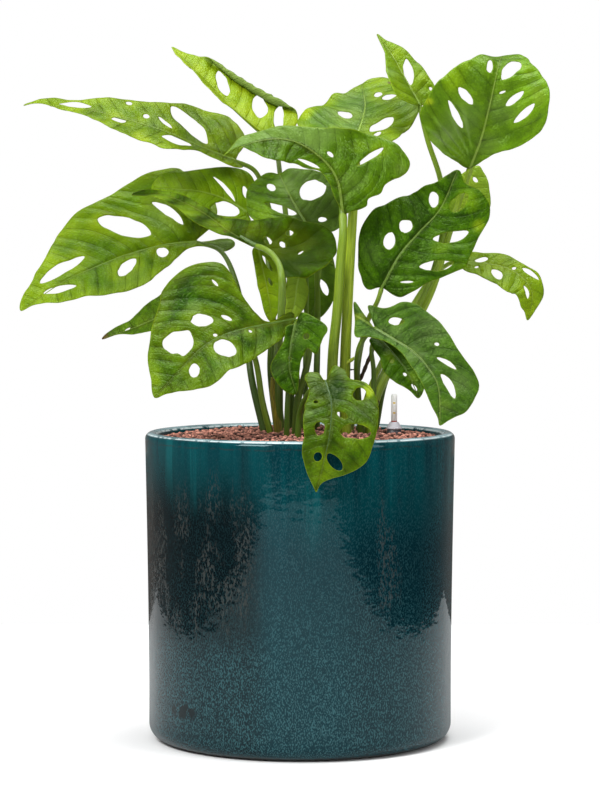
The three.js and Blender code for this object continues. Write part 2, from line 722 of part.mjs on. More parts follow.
function leafHole([x, y, halfLength, halfWidth, angle]) {
  const sides = halfLength > 10 ? 8 : 6;
  const turn = radians(angle);
  return Array.from({ length: sides }, (_, i) => {
    const t = (2 * Math.PI * i) / sides;
    const u = halfLength * Math.cos(t);
    const v = halfWidth * Math.sin(t);
    return [x + u * Math.cos(turn) - v * Math.sin(turn), y + u * Math.sin(turn) + v * Math.cos(turn)];
  });
}

function insideRing([x, y], ring) {
  let inside = false;
  ring.forEach(([x1, y1], i) => {
    const [x2, y2] = ring[(i + 1) % ring.length];
    if ((y1 > y) !== (y2 > y) && x < x1 + ((y - y1) * (x2 - x1)) / (y2 - y1)) inside = !inside;
  });
  return inside;
}

function distanceToRing([x, y], ring) {
  return Math.min(...ring.map(([x1, y1], i) => {
    const [x2, y2] = ring[(i + 1) % ring.length];
    const [dx, dy] = [x2 - x1, y2 - y1];
    const t = clamp(((x - x1) * dx + (y - y1) * dy) / (dx * dx + dy * dy || 1), 0, 1);
    return Math.hypot(x - x1 - t * dx, y - y1 - t * dy);
  }));
}

function latticePoints(outline, holes, length) {
  const rings = [outline, ...holes];
  const free = (p, gap) => (
    insideRing(p, outline)
    && holes.every((h) => !insideRing(p, h))
    && rings.every((r) => distanceToRing(p, r) > gap)
  );
  const points = [];
  for (let y = latticeStep / 2; y < length - 4; y += latticeStep * 0.75) {
    if (free([0, y], 2)) points.push([0, y]);
  }
  const row = latticeStep * 0.87;
  for (let i = -8; i < 16; i++) {
    for (let j = 1; j < 7; j++) {
      const y = i * latticeStep + (j % 2) * (latticeStep / 2);
      [[j * row * 0.8, y], [-j * row * 0.8, y]].forEach((p) => free(p, latticeStep * 0.3) && points.push(p));
    }
  }
  return points;
}

// Rings of a round stem along a path, closed at both ends.
function stem(points, radii, sides) {
  const rings = [];
  const side = new V3(1, 0, 0);
  for (let i = points.length - 1; i >= 0; i--) {
    const p = points[i];
    const next = points[Math.min(i + 1, points.length - 1)];
    const last = points[Math.max(i - 1, 0)];
    const along = i === points.length - 2 ? next.clone().sub(p) : next.clone().sub(last);
    along.normalize();
    side.addScaledVector(along, -side.dot(along)).normalize();
    const other = along.clone().cross(side);
    const ring = Array.from({ length: sides }, (_, k) => {
      const a = (2 * Math.PI * k) / sides;
      const r = radii[i];
      const q = p.clone().addScaledVector(side, r * Math.cos(a)).addScaledVector(other, r * Math.sin(a));
      return [q.x, q.y, q.z];
    });
    rings.unshift(...ring);
  }
  const triangles = [];
  for (let i = 0; i < points.length - 1; i++) {
    for (let k = 0; k < sides; k++) {
      const a = i * sides + k;
      const b = i * sides + ((k + 1) % sides);
      triangles.push([a, b, b + sides], [a, b + sides, a + sides]);
    }
  }
  const top = rings.length;
  const ends = [points[0], points[points.length - 1]].map((p) => [p.x, p.y, p.z]);
  for (let k = 0; k < sides; k++) {
    const next = (k + 1) % sides;
    const end = (points.length - 1) * sides;
    triangles.push([next, k, top], [end + k, end + next, top + 1]);
  }
  return indexed([...rings, ...ends], triangles);
}

// A stalk runs along the first part of the midrib, down to the granules and straight into its hole.
function stalk(leaf, at, length) {
  const under = (y, r) => {
    const p = at(0, y);
    const q = at(0, y + 1);
    const side = at(0.5, y).sub(at(-0.5, y));
    const up = side.cross(q.sub(p)).normalize();
    return p.addScaledVector(up, leaf.underside ? r : -r);
  };
  const [thin, thick] = leaf.radius;
  const reach = length * 0.3;
  const head = [under(reach, 0.6), under(reach * 0.5, thin * 0.55), under(0, thin * 0.7)];
  const points = [
    ...leaf.stalk.map((p) => new V3(...p)),
    new V3(leaf.root[0], leaf.root[1], fillTop + 6),
  ];
  const curve = new THREE.CatmullRomCurve3([head[2], ...points], false, 'catmullrom', 0.5);
  const steps = Math.ceil(points.length * 1.6);
  const bodyPoints = Array.from({ length: steps }, (_, i) => curve.getPoint((i + 1) / steps));
  const foot = new V3(leaf.root[0], leaf.root[1], fillTop - stalkDepth);
  const all = [...head, ...bodyPoints, foot];
  const radii = all.map((_, i) => {
    if (i === 0) return 0.8;
    if (i === 1) return thin * 0.7;
    return lerp(thin, thick, clamp((i - 2) / (steps - 1), 0, 1));
  });
  return stem(straightened(all), radii, stalkSides);
}

// The last two rings of a stem stand plumb above each other, level with the granules.
function straightened(points) {
  const last = points[points.length - 1];
  return points.map((p, i) => (i === points.length - 2 ? new V3(last.x, last.y, p.z) : p));
}

function leafBlade(leaf, at, length) {
  const outline = leafOutline(leaf, length);
  const holes = leaf.holes.map(leafHole);
  const { points, triangles } = triangulate(outline, holes, latticePoints(outline, holes, length));
  const step = 0.5;
  const half = bladeThickness / 2;
  const skins = points.map(([x, y]) => {
    const across = at(x + step, y).sub(at(x - step, y));
    const along = at(x, y + step).sub(at(x, y - step));
    const up = across.cross(along).normalize();
    const middle = at(x, y);
    const upper = middle.clone().addScaledVector(up, half);
    const lower = middle.clone().addScaledVector(up, -half);
    return [upper, lower];
  });
  const n = points.length;
  const places = [0, 1].flatMap((s) => skins.map((pair) => [pair[s].x, pair[s].y, pair[s].z]));
  const faces = triangles.flatMap(([a, b, c]) => [[a, b, c], [a + n, c + n, b + n]]);
  let start = 0;
  for (const ring of [outline, ...holes]) {
    const turn = THREE.ShapeUtils.area(ring.map(([x, y]) => new V2(x, y))) > 0 ? 1 : -1;
    const outward = ring === outline ? turn : -turn;
    ring.forEach((_, i) => {
      const a = start + i;
      const b = start + ((i + 1) % ring.length);
      const [u, v] = outward > 0 ? [a, b] : [b, a];
      faces.push([u, u + n, v + n], [u, v + n, v]);
    });
    start += ring.length;
  }
  return indexed(places, faces);
}

function leafSolid(leaf) {
  const at = leafSurface(leaf);
  const { length } = pathThrough(leaf.rib);
  const blade = toSolid(leafBlade(leaf, at, length));
  return toGeometry(blade.add(toSolid(stalk(leaf, at, length))));
}

// Plain round holes in the granules, a little wider and deeper than what stands in them.
function plainHole([x, y], radius, sides, depth) {
  const high = depth + 20;
  const geometry = new THREE.CylinderGeometry(radius, radius, high, sides);
  geometry.rotateX(Math.PI / 2);
  geometry.rotateZ(Math.PI / 2);
  geometry.translate(x, y, fillTop - depth + high / 2);
  return toSolid(geometry);
}

// The granules are raised from the fill's top by a rule: of a three-cornered lattice, each third point is high.
function granules() {
  const profile = innerProfile(clear);
  const [edgeRadius, edgeLevel] = [outerRadius(fillTop) - wall - clear, fillTop - 3];
  const wallPoints = [...profile.slice(1), [edgeRadius, edgeLevel]];
  const ring = Array.from({ length: potSides }, (_, k) => {
    const a = (2 * Math.PI * k) / potSides;
    return [edgeRadius * Math.sin(a), -edgeRadius * Math.cos(a)];
  });
  const raised = [];
  const rows = Math.ceil(edgeRadius / (granulePitch * 0.866));
  for (let j = -rows; j <= rows; j++) {
    for (let i = -rows * 2; i <= rows * 2; i++) {
      const x = (i + (j % 2 ? 0.5 : 0)) * granulePitch;
      const y = j * granulePitch * 0.866;
      const r = Math.hypot(x, y);
      if (r > edgeRadius - granulePitch * 0.6) continue;
      const third = (((i - Math.floor(j / 2)) - j) % 3 + 3) % 3;
      const mound = fillMound * (1 - (r / edgeRadius) ** 2);
      const jitter = 0.4 * Math.sin(i * 12.9 + j * 78.2);
      raised.push([x, y, fillTop + mound + jitter + (third === 0 ? granuleRelief : -granuleRelief * 0.4)]);
    }
  }
  const { points, triangles } = triangulate(ring, [], raised.map(([x, y]) => [x, y]));
  const heights = points.map(([x, y], i) => (i < potSides ? edgeLevel : heightAt(raised, x, y)));
  const places = points.map(([x, y], i) => [x, y, heights[i]]);
  const faces = triangles.map((t) => [...t]);
  let upper = 0;
  for (let p = wallPoints.length - 2; p >= 0; p--) {
    const [r, z] = wallPoints[p];
    const lower = places.length;
    ring.forEach(([x, y]) => places.push([(x * r) / edgeRadius, (y * r) / edgeRadius, z]));
    for (let k = 0; k < potSides; k++) {
      const next = (k + 1) % potSides;
      faces.push([upper + k, lower + k, lower + next], [upper + k, lower + next, upper + next]);
    }
    upper = lower;
  }
  const floorMiddle = places.push([0, 0, profile[0][1]]) - 1;
  for (let k = 0; k < potSides; k++) faces.push([upper + k, floorMiddle, upper + ((k + 1) % potSides)]);
  let body = toSolid(indexed(places, faces));
  const cuts = leaves.map((leaf) => (
    plainHole(leaf.root, leaf.radius[1] + holeClear, stalkSides, stalkDepth + holeClear)
  ));
  cuts.push(plainHole(aerialRoot.root, aerialRoot.radius[1] + holeClear, stalkSides, stalkDepth + holeClear));
  const gaugeDepth = fillTop - floorThickness - clear - 1;
  cuts.push(plainHole([gaugeX, gaugeY], housingRadius + holeClear, gaugeSides, gaugeDepth));
  for (const cut of cuts) body = body.subtract(cut);
  return toGeometry(body);
}

function heightAt(raised, x, y) {
  return raised.find(([u, v]) => Math.hypot(u - x, v - y) < 0.01)[2];
}

function aerialRootSolid() {
  const foot = new V3(...aerialRoot.root, fillTop - stalkDepth);
  const level = new V3(...aerialRoot.root, fillTop + 6);
  const curve = new THREE.CatmullRomCurve3(
    [...aerialRoot.path.map((p) => new V3(...p)), level], false, 'catmullrom', 0.5,
  );
  const points = [...curve.getPoints(8), foot];
  const [thin, thick] = aerialRoot.radius;
  const radii = points.map((_, i) => (i === 0 ? 0.8 : lerp(thin, thick, i / (points.length - 1))));
  return toGeometry(toSolid(stem(straightened(points), radii, 6)));
}

// Turned pieces of the gauge stand on its own axis.
function turned(profile) {
  return toGeometry(toSolid(lathe(profile, gaugeSides).translate(gaugeX, gaugeY, 0)));
}

function gaugeHousing() {
  const low = floorThickness + clear + 1 + clear;
  const inner = housingRadius - housingWall;
  return turned([
    [inner, low], [housingRadius, low], [housingRadius, housingTop], [inner, housingTop], [inner, low],
  ]);
}

function gaugeCap() {
  const low = housingTop + clear;
  const rodHole = rodRadius + 0.4;
  const seat = sightRadius + clear;
  return turned([
    [rodHole, low], [capRadius, low], [capRadius, low + 1], [seat + 0.7, low + capHeight],
    [seat, low + capHeight], [seat, low + capFloor], [rodHole, low + capFloor], [rodHole, low],
  ]);
}

function gaugeSight() {
  const low = housingTop + clear + capFloor + clear;
  const high = low + sightLength;
  return turned([
    [sightBore, low], [sightRadius, low], [sightRadius, high - 1.4], [sightRadius - 1, high], [0, high],
    [0, high - 1.2], [sightBore - 0.6, high - 1.2], [sightBore, high - 1.8], [sightBore, low],
  ]);
}

function gaugeFloat() {
  const low = floorThickness + clear + 1 + clear;
  const high = low + floatLength;
  return turned([
    [0, low], [floatRadius - 1, low], [floatRadius, low + 1], [floatRadius, high - 1],
    [floatRadius - 1, high], [rodRadius, high], [rodRadius, rodTop - 0.5], [rodRadius - 0.5, rodTop],
    [0, rodTop],
  ]);
}

const group = new THREE.Group();
group.name = 'potted_monstera_obliqua';

function add(name, geometry, look) {
  const mesh = new THREE.Mesh(geometry, look);
  mesh.name = name;
  group.add(mesh);
}

add('pot', toGeometry(toSolid(pot())), material('#0f4f58', 0.2));
add('granules', granules(), material('#8a5a3c', 0.9));
add('gauge_housing', gaugeHousing(), material('#3a3d40', 0.5));
add('gauge_cap', gaugeCap(), material('#b9bcbd', 0.5));
add('gauge_sight_tube', gaugeSight(), material('#e6eef0', 0.1));
add('gauge_float', gaugeFloat(), material('#c9331f', 0.5));
leaves.forEach((leaf) => add(leaf.name, leafSolid(leaf), material(greens[leaf.colour], 0.45)));
add('aerial_root', aerialRootSolid(), material('#4a3a28', 0.8));

export default group;
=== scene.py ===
"""Looks of a monstera obliqua in a glazed pot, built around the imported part. Metres, +Z up, front to -Y."""
import itertools
import math

import bpy
import numpy as np
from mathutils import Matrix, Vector, geometry


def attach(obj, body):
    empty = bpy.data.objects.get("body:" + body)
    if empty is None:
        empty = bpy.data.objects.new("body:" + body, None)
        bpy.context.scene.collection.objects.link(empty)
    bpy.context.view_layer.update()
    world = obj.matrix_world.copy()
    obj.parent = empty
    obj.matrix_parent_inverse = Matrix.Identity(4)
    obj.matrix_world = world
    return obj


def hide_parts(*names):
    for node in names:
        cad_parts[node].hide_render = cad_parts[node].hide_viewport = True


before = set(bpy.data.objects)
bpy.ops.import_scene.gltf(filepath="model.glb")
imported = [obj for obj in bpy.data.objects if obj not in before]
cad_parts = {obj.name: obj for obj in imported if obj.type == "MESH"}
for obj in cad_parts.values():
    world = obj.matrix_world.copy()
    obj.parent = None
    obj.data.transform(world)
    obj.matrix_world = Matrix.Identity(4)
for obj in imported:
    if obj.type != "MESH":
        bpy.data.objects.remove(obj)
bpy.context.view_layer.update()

MM = 0.001
TURN = 2 * math.pi

# Camera
CAMERA_DISTANCE, CAMERA_HEIGHT = 2.490, 0.439
CAMERA_PITCH = math.radians(3.05)
CAMERA_LENS, CAMERA_SENSOR = 124.07, 36

# Studio. Each light: place, what it faces, width and height, power
FLOOR_SIDE, FLOOR_FRONT, FLOOR_BACK, FLOOR_DROP = 0.80, -1.9, 0.75, 0.0002
LIGHTS = {
    "key": ((-1.2, -1.5, 1.9), (0, 0, 0.4), (0.9, 0.9), 56),
    "fill": ((1.9, -1.3, 0.9), (0, 0, 0.35), (0.5, 1.2), 9),
    "top": ((0.3, 0.1, 2.2), (0, 0, 0.3), (1.3, 1.3), 42),
}
# How bright the world is to the camera, as light, and in mirrors: high up, and low down in a warm tone
SKY_SEEN, SKY_LIGHT, SKY_HIGH, SKY_WARM = 1.0, 0.42, 0.18, 0.26
WARM_DARK = (1, 0.86, 0.78)

# Pot, in millimetres
POT_HEIGHT = 278
RIM_RADIUS, WAIST_RADIUS, FOOT_RADIUS = 140, 136.5, 137
FOOT_ROUND, INNER_ROUND = 15, 14
WALL, FLOOR_THICKNESS = 12, 16
LIP_RADIUS = WALL / 2
# Radii of the thin white lines painted on the lip as highlights
RIM_HIGHLIGHTS = (129.6, 137.6)
POT_SIDES = 160

# Granule fill
CLEAR = 0.3
FILL_TOP = POT_HEIGHT - 5
FILL_MOUND = 5
BED_DEPTH, BED_SIDES = 4.2, 96
GRANULE_SEED = 11
GRANULE_PITCH, GRANULE_SHIFT, GRANULE_GAP = 4.6, 0.9, 0.9
GRANULE_RADIUS = (1.7, 2.7)
GRANULE_SINK, GRANULE_PROUD = 2.3, 3.0
DARK_SHARE = 0.24
ROW = 0.866

# Water gauge
GAUGE_X, GAUGE_Y = 85, -4
HOUSING_RADIUS, HOUSING_WALL, HOUSING_TOP = 6.6, 1.2, FILL_TOP + 7
CAP_HEIGHT, CAP_RADIUS, CAP_FLOOR = 6.5, 7.3, 1.2
SIGHT_RADIUS, SIGHT_BORE, SIGHT_LENGTH = 2.7, 1.9, 30
ROD_RADIUS, ROD_PLAY, ROD_TOP = 1.4, 0.4, HOUSING_TOP + 7
FLOAT_RADIUS, FLOAT_LENGTH = 4.6, 30
TICK_LEVELS = (HOUSING_TOP + 15, HOUSING_TOP + 24)

# Leaves
BLADE_THICKNESS = 0.7
BLADE_PITCH = EDGE_STEP = 1.7
EDGE_GAP = BLADE_PITCH * 0.42
STALK_DEPTH, STALK_SIDES, MIDRIB_RINGS = 52, 14, 34
PLAIN_RIB, SHADY, GLOW = 0.35, 0.8, 0.25
VEIN_FAN = math.radians(27)

# One record for each leaf, read from the plant and rounded to whole millimetres, as in the solids.
# rib, face, middle, fold, bend, wave, roll and the flat outlines shape the blade; stalk, root and radius
# the stalk. holes: [across, along, half length, half width, angle].
# pucker, crinkle, ridge, pleated: the fine relief of the blade.
# tone: lightness, yellowness and greyness of the blade; shade: how they change over it; stem: the stalk's.
# rib_pale: how pale the midrib shows; matte: without sheen; underside: shows its back; flute, shady: the
# stalk's grooves and its shade low down; brown: dry places [across, along, size].
# spots: soft areas, [across, along, half width, half height, lighter, yellower, greyer].
# In the spots, lighter also paints light and shade and greyer paints sheen, besides the leaf's own tone.
LEAVES = [dict(
    name="leaf_upper_left", slot="leaf_mid", tone=(0.33, 0.18, 0), stem=(0.42, 0.12, 0), rib_pale=0.3,
    shade={"edge_yellow": 0.2}, face=[(0.1, -0.5, 0.85), (0.1, -0.45, 0.9), (0.1, -0.45, 0.9)],
    fold=(-5, 5, 20, 6), bend=(-10, -10), wave=(1.2, 60, 0), root=(1, 44), radius=(2.2, 3),
    spots=[
        (24, 52, 22, 13, -0.02, -0.1, 0.35), (7, 82, 14, 9, -0.05, -0.1, 0.25),
        (1, 42, 13, 9, 0, -0.1, 0.35), (7, 156, 21, 11, 0.1, 0.15, 0), (30, 13, 20, 15, -0.08, 0.1, -0.1),
        (-29, 91, 17, 9, 0.05, 0.3, 0), (7, 122, 19, 11, 0.05, 0.1, 0), (30, -2, 10, 8, 0.1, 0, 0.4),
    ],
    rib=[
        (-59, 66, 525), (-88, 60, 536), (-124, 54, 551), (-165, 50, 563), (-206, 46, 572), (-253, 44, 574),
    ],
    left=[(-9, -7), (-13, 9), (-9, 35), (-32, 63), (-30, 82), (-29, 112), (-16, 141), (-6, 169), (5, 188)],
    right=[(29, -5), (41, 4), (51, 19), (52, 46), (39, 78), (30, 118), (15, 154), (17, 176), (10, 193)],
    holes=[
        (6, 157, 15, 5.5, -90), (-5, 115, 7, 4.5, -73), (26, 109, 3, 3, -130), (12, 91, 3, 3, -111),
        (11, 73, 9, 2.5, -126), (22, 51, 25, 10, -124), (-10, 59, 15, 7, -75),
    ],
    stalk=[(-41, 80, 514), (-30, 94, 484), (-19, 86, 433), (-7, 62, 359)],
), dict(
    name="leaf_top_left", slot="leaf_bright", tone=(0.6, 0.6, 0), stem=(0.42, 0.12, 0),
    shade={"roll_grey": 0.45}, face=[(0.4, -0.72, 0.55)], fold=(44, 35, 0, 0), bend=(0, -12),
    roll=(1, -30, 57, 7, 20), root=(-8, 20), radius=(2.2, 3),
    spots=[(22, 37, 16, 12, 0.2, 0.2, 0), (2, 99, 12, 10, -0.1, 0, 0), (15, 57, 10, 8, 0.1, 0.1, 0)],
    rib=[(-29, 46, 545), (-46, 50, 559), (-69, 58, 580), (-89, 66, 601), (-105, 74, 616), (-119, 82, 630)],
    left=[(-14, 4), (-22, 22), (-26, 46), (-23, 72), (-16, 96), (-7, 116)],
    right=[(15, -9), (38, -7), (54, 5), (56, 20), (49, 45), (41, 67), (32, 87), (21, 102), (9, 115)],
    holes=[(13, 71, 15, 6.5, -118), (26, 31, 16, 7.5, -138), (29, 8, 19, 5, -148), (-11, 39, 13, 3.5, 80)],
    stalk=[(-22, 64, 534), (-18, 94, 507), (-13, 86, 470), (-9, 54, 396), (-8, 28, 323)],
), dict(
    name="leaf_left_large", slot="leaf_mid", tone=(0.4, 0.1, 0), stem=(0.25, 0.1, 0), rib_pale=0.15,
    shade={"edge_yellow": 0.25}, face=[(-0.1, -0.87, 0.5)], fold=(8, 4, 8, 4), bend=(-8, -12),
    wave=(1.5, 70, 40), root=(-33, 4), radius=(1.9, 3.4),
    spots=[
        (33, 26, 21, 14, 0.02, 0, 0.22), (57, 13, 15, 11, -0.05, 0, 0.12),
        (47, 95, 23, 18, 0.1, 0.12, -0.05), (45, 68, 5, 4, -0.3, 0, 0.1), (-35, 78, 24, 25, 0.05, 0, 0.2),
        (20, 132, 14, 13, 0.12, 0.1, 0), (14, -6, 12, 12, -0.1, 0, 0.1), (2, 170, 12, 12, 0.1, 0.1, 0),
        (-8, -20, 12, 20, 0.6, 0, 0.8),
    ],
    rib=[
        (-96, 84, 450), (-125, 76, 447), (-162, 60, 437), (-193, 42, 424), (-219, 24, 411), (-252, 0, 387),
    ],
    left=[
        (0, -30), (-9, -35), (-16, -20), (-8, -6), (-8, 8), (-24, 35), (-38, 66), (-39, 86), (-35, 112),
        (-27, 136), (-17, 160), (-4, 178),
    ],
    right=[
        (18, -21), (49, -24), (74, -2), (79, 18), (78, 30), (70, 51), (62, 71), (59, 89), (50, 110),
        (30, 138), (18, 162), (9, 183),
    ],
    holes=[
        (29, 59, 24, 10.5, -129), (32, 20, 17, 3.5, -148), (-8, 36, 6, 5.5, -74), (-14, 77, 14, 5.5, -66),
        (13, 131, 26, 5.5, -86), (-5, 148, 16, 4, -111),
    ],
    stalk=[(-73, 78, 440), (-59, 64, 411), (-50, 42, 368), (-44, 18, 324)],
), dict(
    name="leaf_left_behind", slot="leaf_bright", tone=(0.62, 0.28, 0), stem=(0.2, 0.2, 0),
    face=[(-0.1, -0.75, 0.65)], fold=(10, 5, 10, 5), bend=(-10, -15), wave=(1.2, 50, 0),
    left=[(-10, -6), (-25, 13), (-33, 45), (-21, 72), (-9, 88)], root=(-17, 38), radius=(1.9, 3),
    spots=[
        (7, 88, 7, 6, 0.2, 0.15, 0.15), (3, 59, 14, 11, -0.15, 0, 0), (-18, 28, 11, 10, -0.3, 0, 0.05),
        (28, 22, 10, 6, 0.15, 0.1, 0), (-20, 70, 13, 9, 0.05, 0, 0.25),
    ],
    rib=[(-48, 66, 477), (-69, 66, 489), (-92, 64, 496), (-115, 62, 498), (-137, 60, 499)],
    right=[(15, -1), (30, 11), (35, 22), (31, 40), (23, 59), (20, 77), (11, 89)],
    holes=[(11, 28, 15, 2, -125), (16, 12, 6, 2.5, -141), (-12, 21, 16, 9, -61)],
    stalk=[(-37, 68, 468), (-31, 66, 442), (-26, 54, 396), (-21, 40, 323)],
), dict(
    name="leaf_centre_olive", slot="leaf_olive", tone=(0.03, 0.06, 0), stem=(0.42, 0.2, 0.12), matte=1,
    underside=1, brown=[(-6, 31, 1.5)], face=[(0.05, -0.75, 0.65), (0, -0.65, 0.75), (0, -0.6, 0.8)],
    fold=(25, 25, 0, 0), bend=(0, -14), wave=(1.2, 60, 90), root=(-19, -14), radius=(2.6, 3.8),
    spots=[
        (-10, 71, 19, 13, 0.3, 0.22, 0.05), (-7, 39, 21, 13, 0.24, 0.2, 0.05),
        (-5, 106, 20, 13, 0.35, 0.2, 0.1), (16, 14, 13, 12, 0.1, 0.15, 0),
        (29, -17, 25, 20, -0.1, 0.05, 0), (-1, -13, 22, 13, -0.15, 0.05, 0),
    ],
    rib=[(-39, -34, 444), (-64, -24, 459), (-90, -10, 477), (-122, 8, 491), (-153, 24, 492)],
    left=[(-2, 3), (-5, 18), (-15, 34), (-23, 48), (-21, 67), (-18, 92), (-14, 112)],
    right=[
        (1, -12), (-6, -25), (-16, -36), (-19, -45), (-2, -54), (20, -61), (41, -59), (55, -48), (65, -31),
        (54, -11), (37, 9), (19, 33), (8, 48), (7, 63), (8, 82), (6, 108), (8, 129),
    ],
    holes=[(13, -3, 5, 3, -107), (18, -16, 3, 3.5, -39), (33, -13, 4, 2.5, -19), (23, -33, 4, 1, -3)],
    stalk=[
        (-30, -44, 442), (-23, -51, 436), (-18, -60, 427), (-16, -66, 415), (-16, -57, 399),
        (-17, -45, 380), (-19, -33, 357), (-19, -24, 330),
    ],
), dict(
    name="leaf_centre_behind", slot="leaf_deep", tone=(0.2, 0.08, 0), stem=(0.42, 0.12, 0), rib_pale=0.6,
    shade={"right_sheen": 0.3}, face=[(-0.05, -0.78, 0.62)], fold=(8, 4, 8, 4), bend=(-12, -18),
    wave=(1.2, 50, 0), root=(15, 18), radius=(2.2, 3.2),
    spots=[(-33, 28, 13, 14, 0.25, 0.1, 0), (-1, 44, 9, 12, 0.15, 0, 0.5), (-7, 18, 10, 11, 0, 0, 0.3)],
    rib=[(5, 28, 467), (-3, 36, 480), (-11, 48, 495), (-19, 62, 512)],
    left=[(-20, 0), (-37, 13), (-44, 29), (-40, 41), (-30, 57), (-15, 66), (-6, 65)],
    right=[(7, -16), (24, -20), (34, -12), (36, 1), (37, 19), (39, 44), (26, 55), (12, 63)],
    holes=[(-13, 48, 5, 3.5, -74), (-14, 22, 15, 4, -43), (22, 30, 12, 13.5, -48), (15, -5, 4, 2.5, -27)],
    stalk=[(10, 38, 451), (15, 38, 424), (16, 28, 369), (15, 20, 324)],
), dict(
    name="leaf_top_centre", slot="leaf_bright", tone=(0.45, 0.1, 0.05), stem=(0.8, 0.65, 0), rib_pale=0.25,
    flute=0.05, shady=0.15, shade={"edge_yellow": 0.25}, brown=[(26, 108, 2)], face=[(0, -0.6, 0.8)],
    fold=(6, 4, 6, 4), bend=(-20, -35), wave=(1.4, 55, 30), root=(41, -14), radius=(4, 5.2),
    spots=[
        (-9, 54, 20, 48, 0, -0.1, 0.35), (-33, 24, 13, 23, 0, -0.1, 0.35),
        (-52, 35, 7, 10, 0.15, 0.25, -0.2), (14, 103, 11, 23, 0.05, 0.2, -0.1),
        (38, 62, 9, 14, 0.05, 0, 0.2), (30, 27, 9, 19, 0.15, 0.1, 0),
    ],
    rib=[(50, 10, 541), (56, 34, 558), (60, 62, 575), (58, 98, 597)],
    left=[(-19, -20), (-44, -10), (-57, 17), (-57, 33), (-46, 51), (-30, 83), (-18, 85), (-8, 97)],
    right=[(30, 3), (41, 28), (47, 48), (51, 66), (50, 97), (38, 107), (22, 117), (9, 114)],
    holes=[
        (-17, 40, 7, 6.5, -25), (13, 82, 6, 3.5, 66), (23, 77, 10, 5, 56), (19, 31, 17, 6.5, 61),
        (18, 13, 5, 2.5, 67), (-14, 5, 7, 4, -14),
    ],
    stalk=[(50, -4, 514), (47, -17, 473), (44, -19, 424), (41, -18, 361), (40, -16, 316)],
), dict(
    name="leaf_front_arching", slot="leaf_deep", tone=(0.25, 0.08, 0), stem=(0.5, 0.3, 0), rib_pale=0.6,
    flute=0.05, shady=0.2, ridge=0.9, pucker=1.5, shade={"far_right_sheen": 52},
    face=[(0, -0.95, 0.3), (-0.1, -0.8, 0.6), (-0.3, -0.8, 0.5)], fold=(5, 5, 5, 5), bend=(-10, -20),
    wave=(1.2, 60, 0), roll=(1, 45, 26, 8, 10), root=(28, -24), radius=(3.8, 5),
    spots=[
        (46, 37, 11, 6, 0.05, 0.1, 0), (58, 26, 9, 4, 0.02, 0.05, 0.15), (12, 25, 11, 9, 0, 0, 0.15),
        (1, 72, 10, 9, -0.1, 0, 0), (33, 44, 8, 4, 0.1, 0.1, 0),
    ],
    rib=[(38, -36, 475), (33, -28, 504), (18, -24, 524), (-9, -26, 539), (-40, -36, 537), (-68, -52, 524)],
    left=[(-7, 20), (-10, 46), (-20, 66), (-26, 103), (-24, 123), (-9, 129), (2, 137)],
    right=[
        (6, -1), (21, 2), (24, 9), (35, 13), (41, 19), (55, 22), (64, 25), (68, 28), (66, 33), (62, 38),
        (42, 51), (21, 74), (12, 105), (11, 128), (6, 140),
    ],
    holes=[(-12, 62, 13, 2, -72), (36, 36, 15, 1.5, 6), (9, 52, 3, 2, -95)],
    stalk=[(38, -39, 455), (36, -37, 433), (33, -31, 388), (29, -28, 344)],
), dict(
    name="leaf_top_right", slot="leaf_bright", tone=(0.42, 0.28, 0), stem=(0.5, 0.2, 0), shady=0.5,
    shade={"left": 0.1}, face=[(0.3, -0.9, 0.4)], fold=(30, 20, 10, 5), bend=(0, -10),
    left=[(-13, 1), (-27, 9), (-28, 23), (-20, 43), (-7, 67)],
    holes=[(6, 38, 15, 4.5, -107), (17, 13, 2, 1.5, -93)], root=(54, 18), radius=(2.4, 3.4),
    spots=[
        (-18, 36, 11, 8, 0.1, 0, 0.35), (6, 59, 8, 8, 0.05, 0.15, 0), (16, 28, 8, 9, 0, 0.1, 0),
        (-24, -69, 15, 10, -0.1, 0, 0),
    ],
    rib=[(110, 32, 573), (101, 40, 590), (92, 50, 607), (84, 60, 622), (71, 74, 641)],
    right=[(11, 0), (21, 12), (21, 23), (20, 41), (15, 58), (9, 72), (4, 80)],
    stalk=[
        (116, 28, 542), (128, 32, 506), (132, 44, 474), (128, 44, 442), (115, 36, 403), (91, 24, 360),
        (65, 18, 305),
    ],
), dict(
    name="leaf_upper_right", slot="leaf_deep", tone=(0.42, 0.1, 0.05), stem=(0.66, 0.35, 0), rib_pale=0.8,
    shady=0.25, ridge=0.9, crinkle=2.1, pucker=1.8, pleated=True, shade={"right_rim": 0.35},
    face=[(0.1, -1, 0.1), (0.1, -1, 0.1), (0.1, -0.3, 0.95)], middle=0.72, fold=(10, 5, 10, 18),
    bend=(-12, -30), wave=(1.6, 60, 0), root=(62, 0), radius=(2.8, 3.8),
    spots=[
        (-38, 76, 13, 12, 0.12, 0.12, -0.05), (-25, 42, 20, 20, -0.05, 0, 0.25),
        (-34, 19, 13, 14, 0.1, 0, 0.4), (14, 58, 16, 15, -0.08, 0, 0.22), (41, 78, 8, 8, 0.25, 0.12, 0.15),
        (-55, 52, 5, 4, 0.2, 0.7, 0), (10, 26, 13, 12, -0.05, 0, 0.2), (26, 99, 7, 10, 0.15, 0.1, 0),
        (-29, 90, 7, 7, 0.1, 0.1, 0),
    ],
    rib=[(154, 16, 516), (163, 6, 541), (170, 2, 569), (176, 4, 596), (180, 14, 611), (184, 36, 618)],
    left=[
        (-12, 1), (-32, 8), (-49, 18), (-60, 40), (-55, 61), (-47, 75), (-34, 90), (-24, 98), (-11, 110),
    ],
    right=[
        (10, 13), (20, 24), (35, 32), (46, 42), (52, 57), (51, 72), (47, 88), (38, 103), (29, 112),
        (22, 123), (10, 131),
    ],
    holes=[
        (-8, 94, 6, 3, -85), (12, 97, 14, 6.5, 65), (-23, 64, 10, 4, -37), (9, 74, 3, 1, 29),
        (21, 71, 10, 3, 51), (32, 60, 12, 3, 55), (-29, 46, 14, 3, -49),
    ],
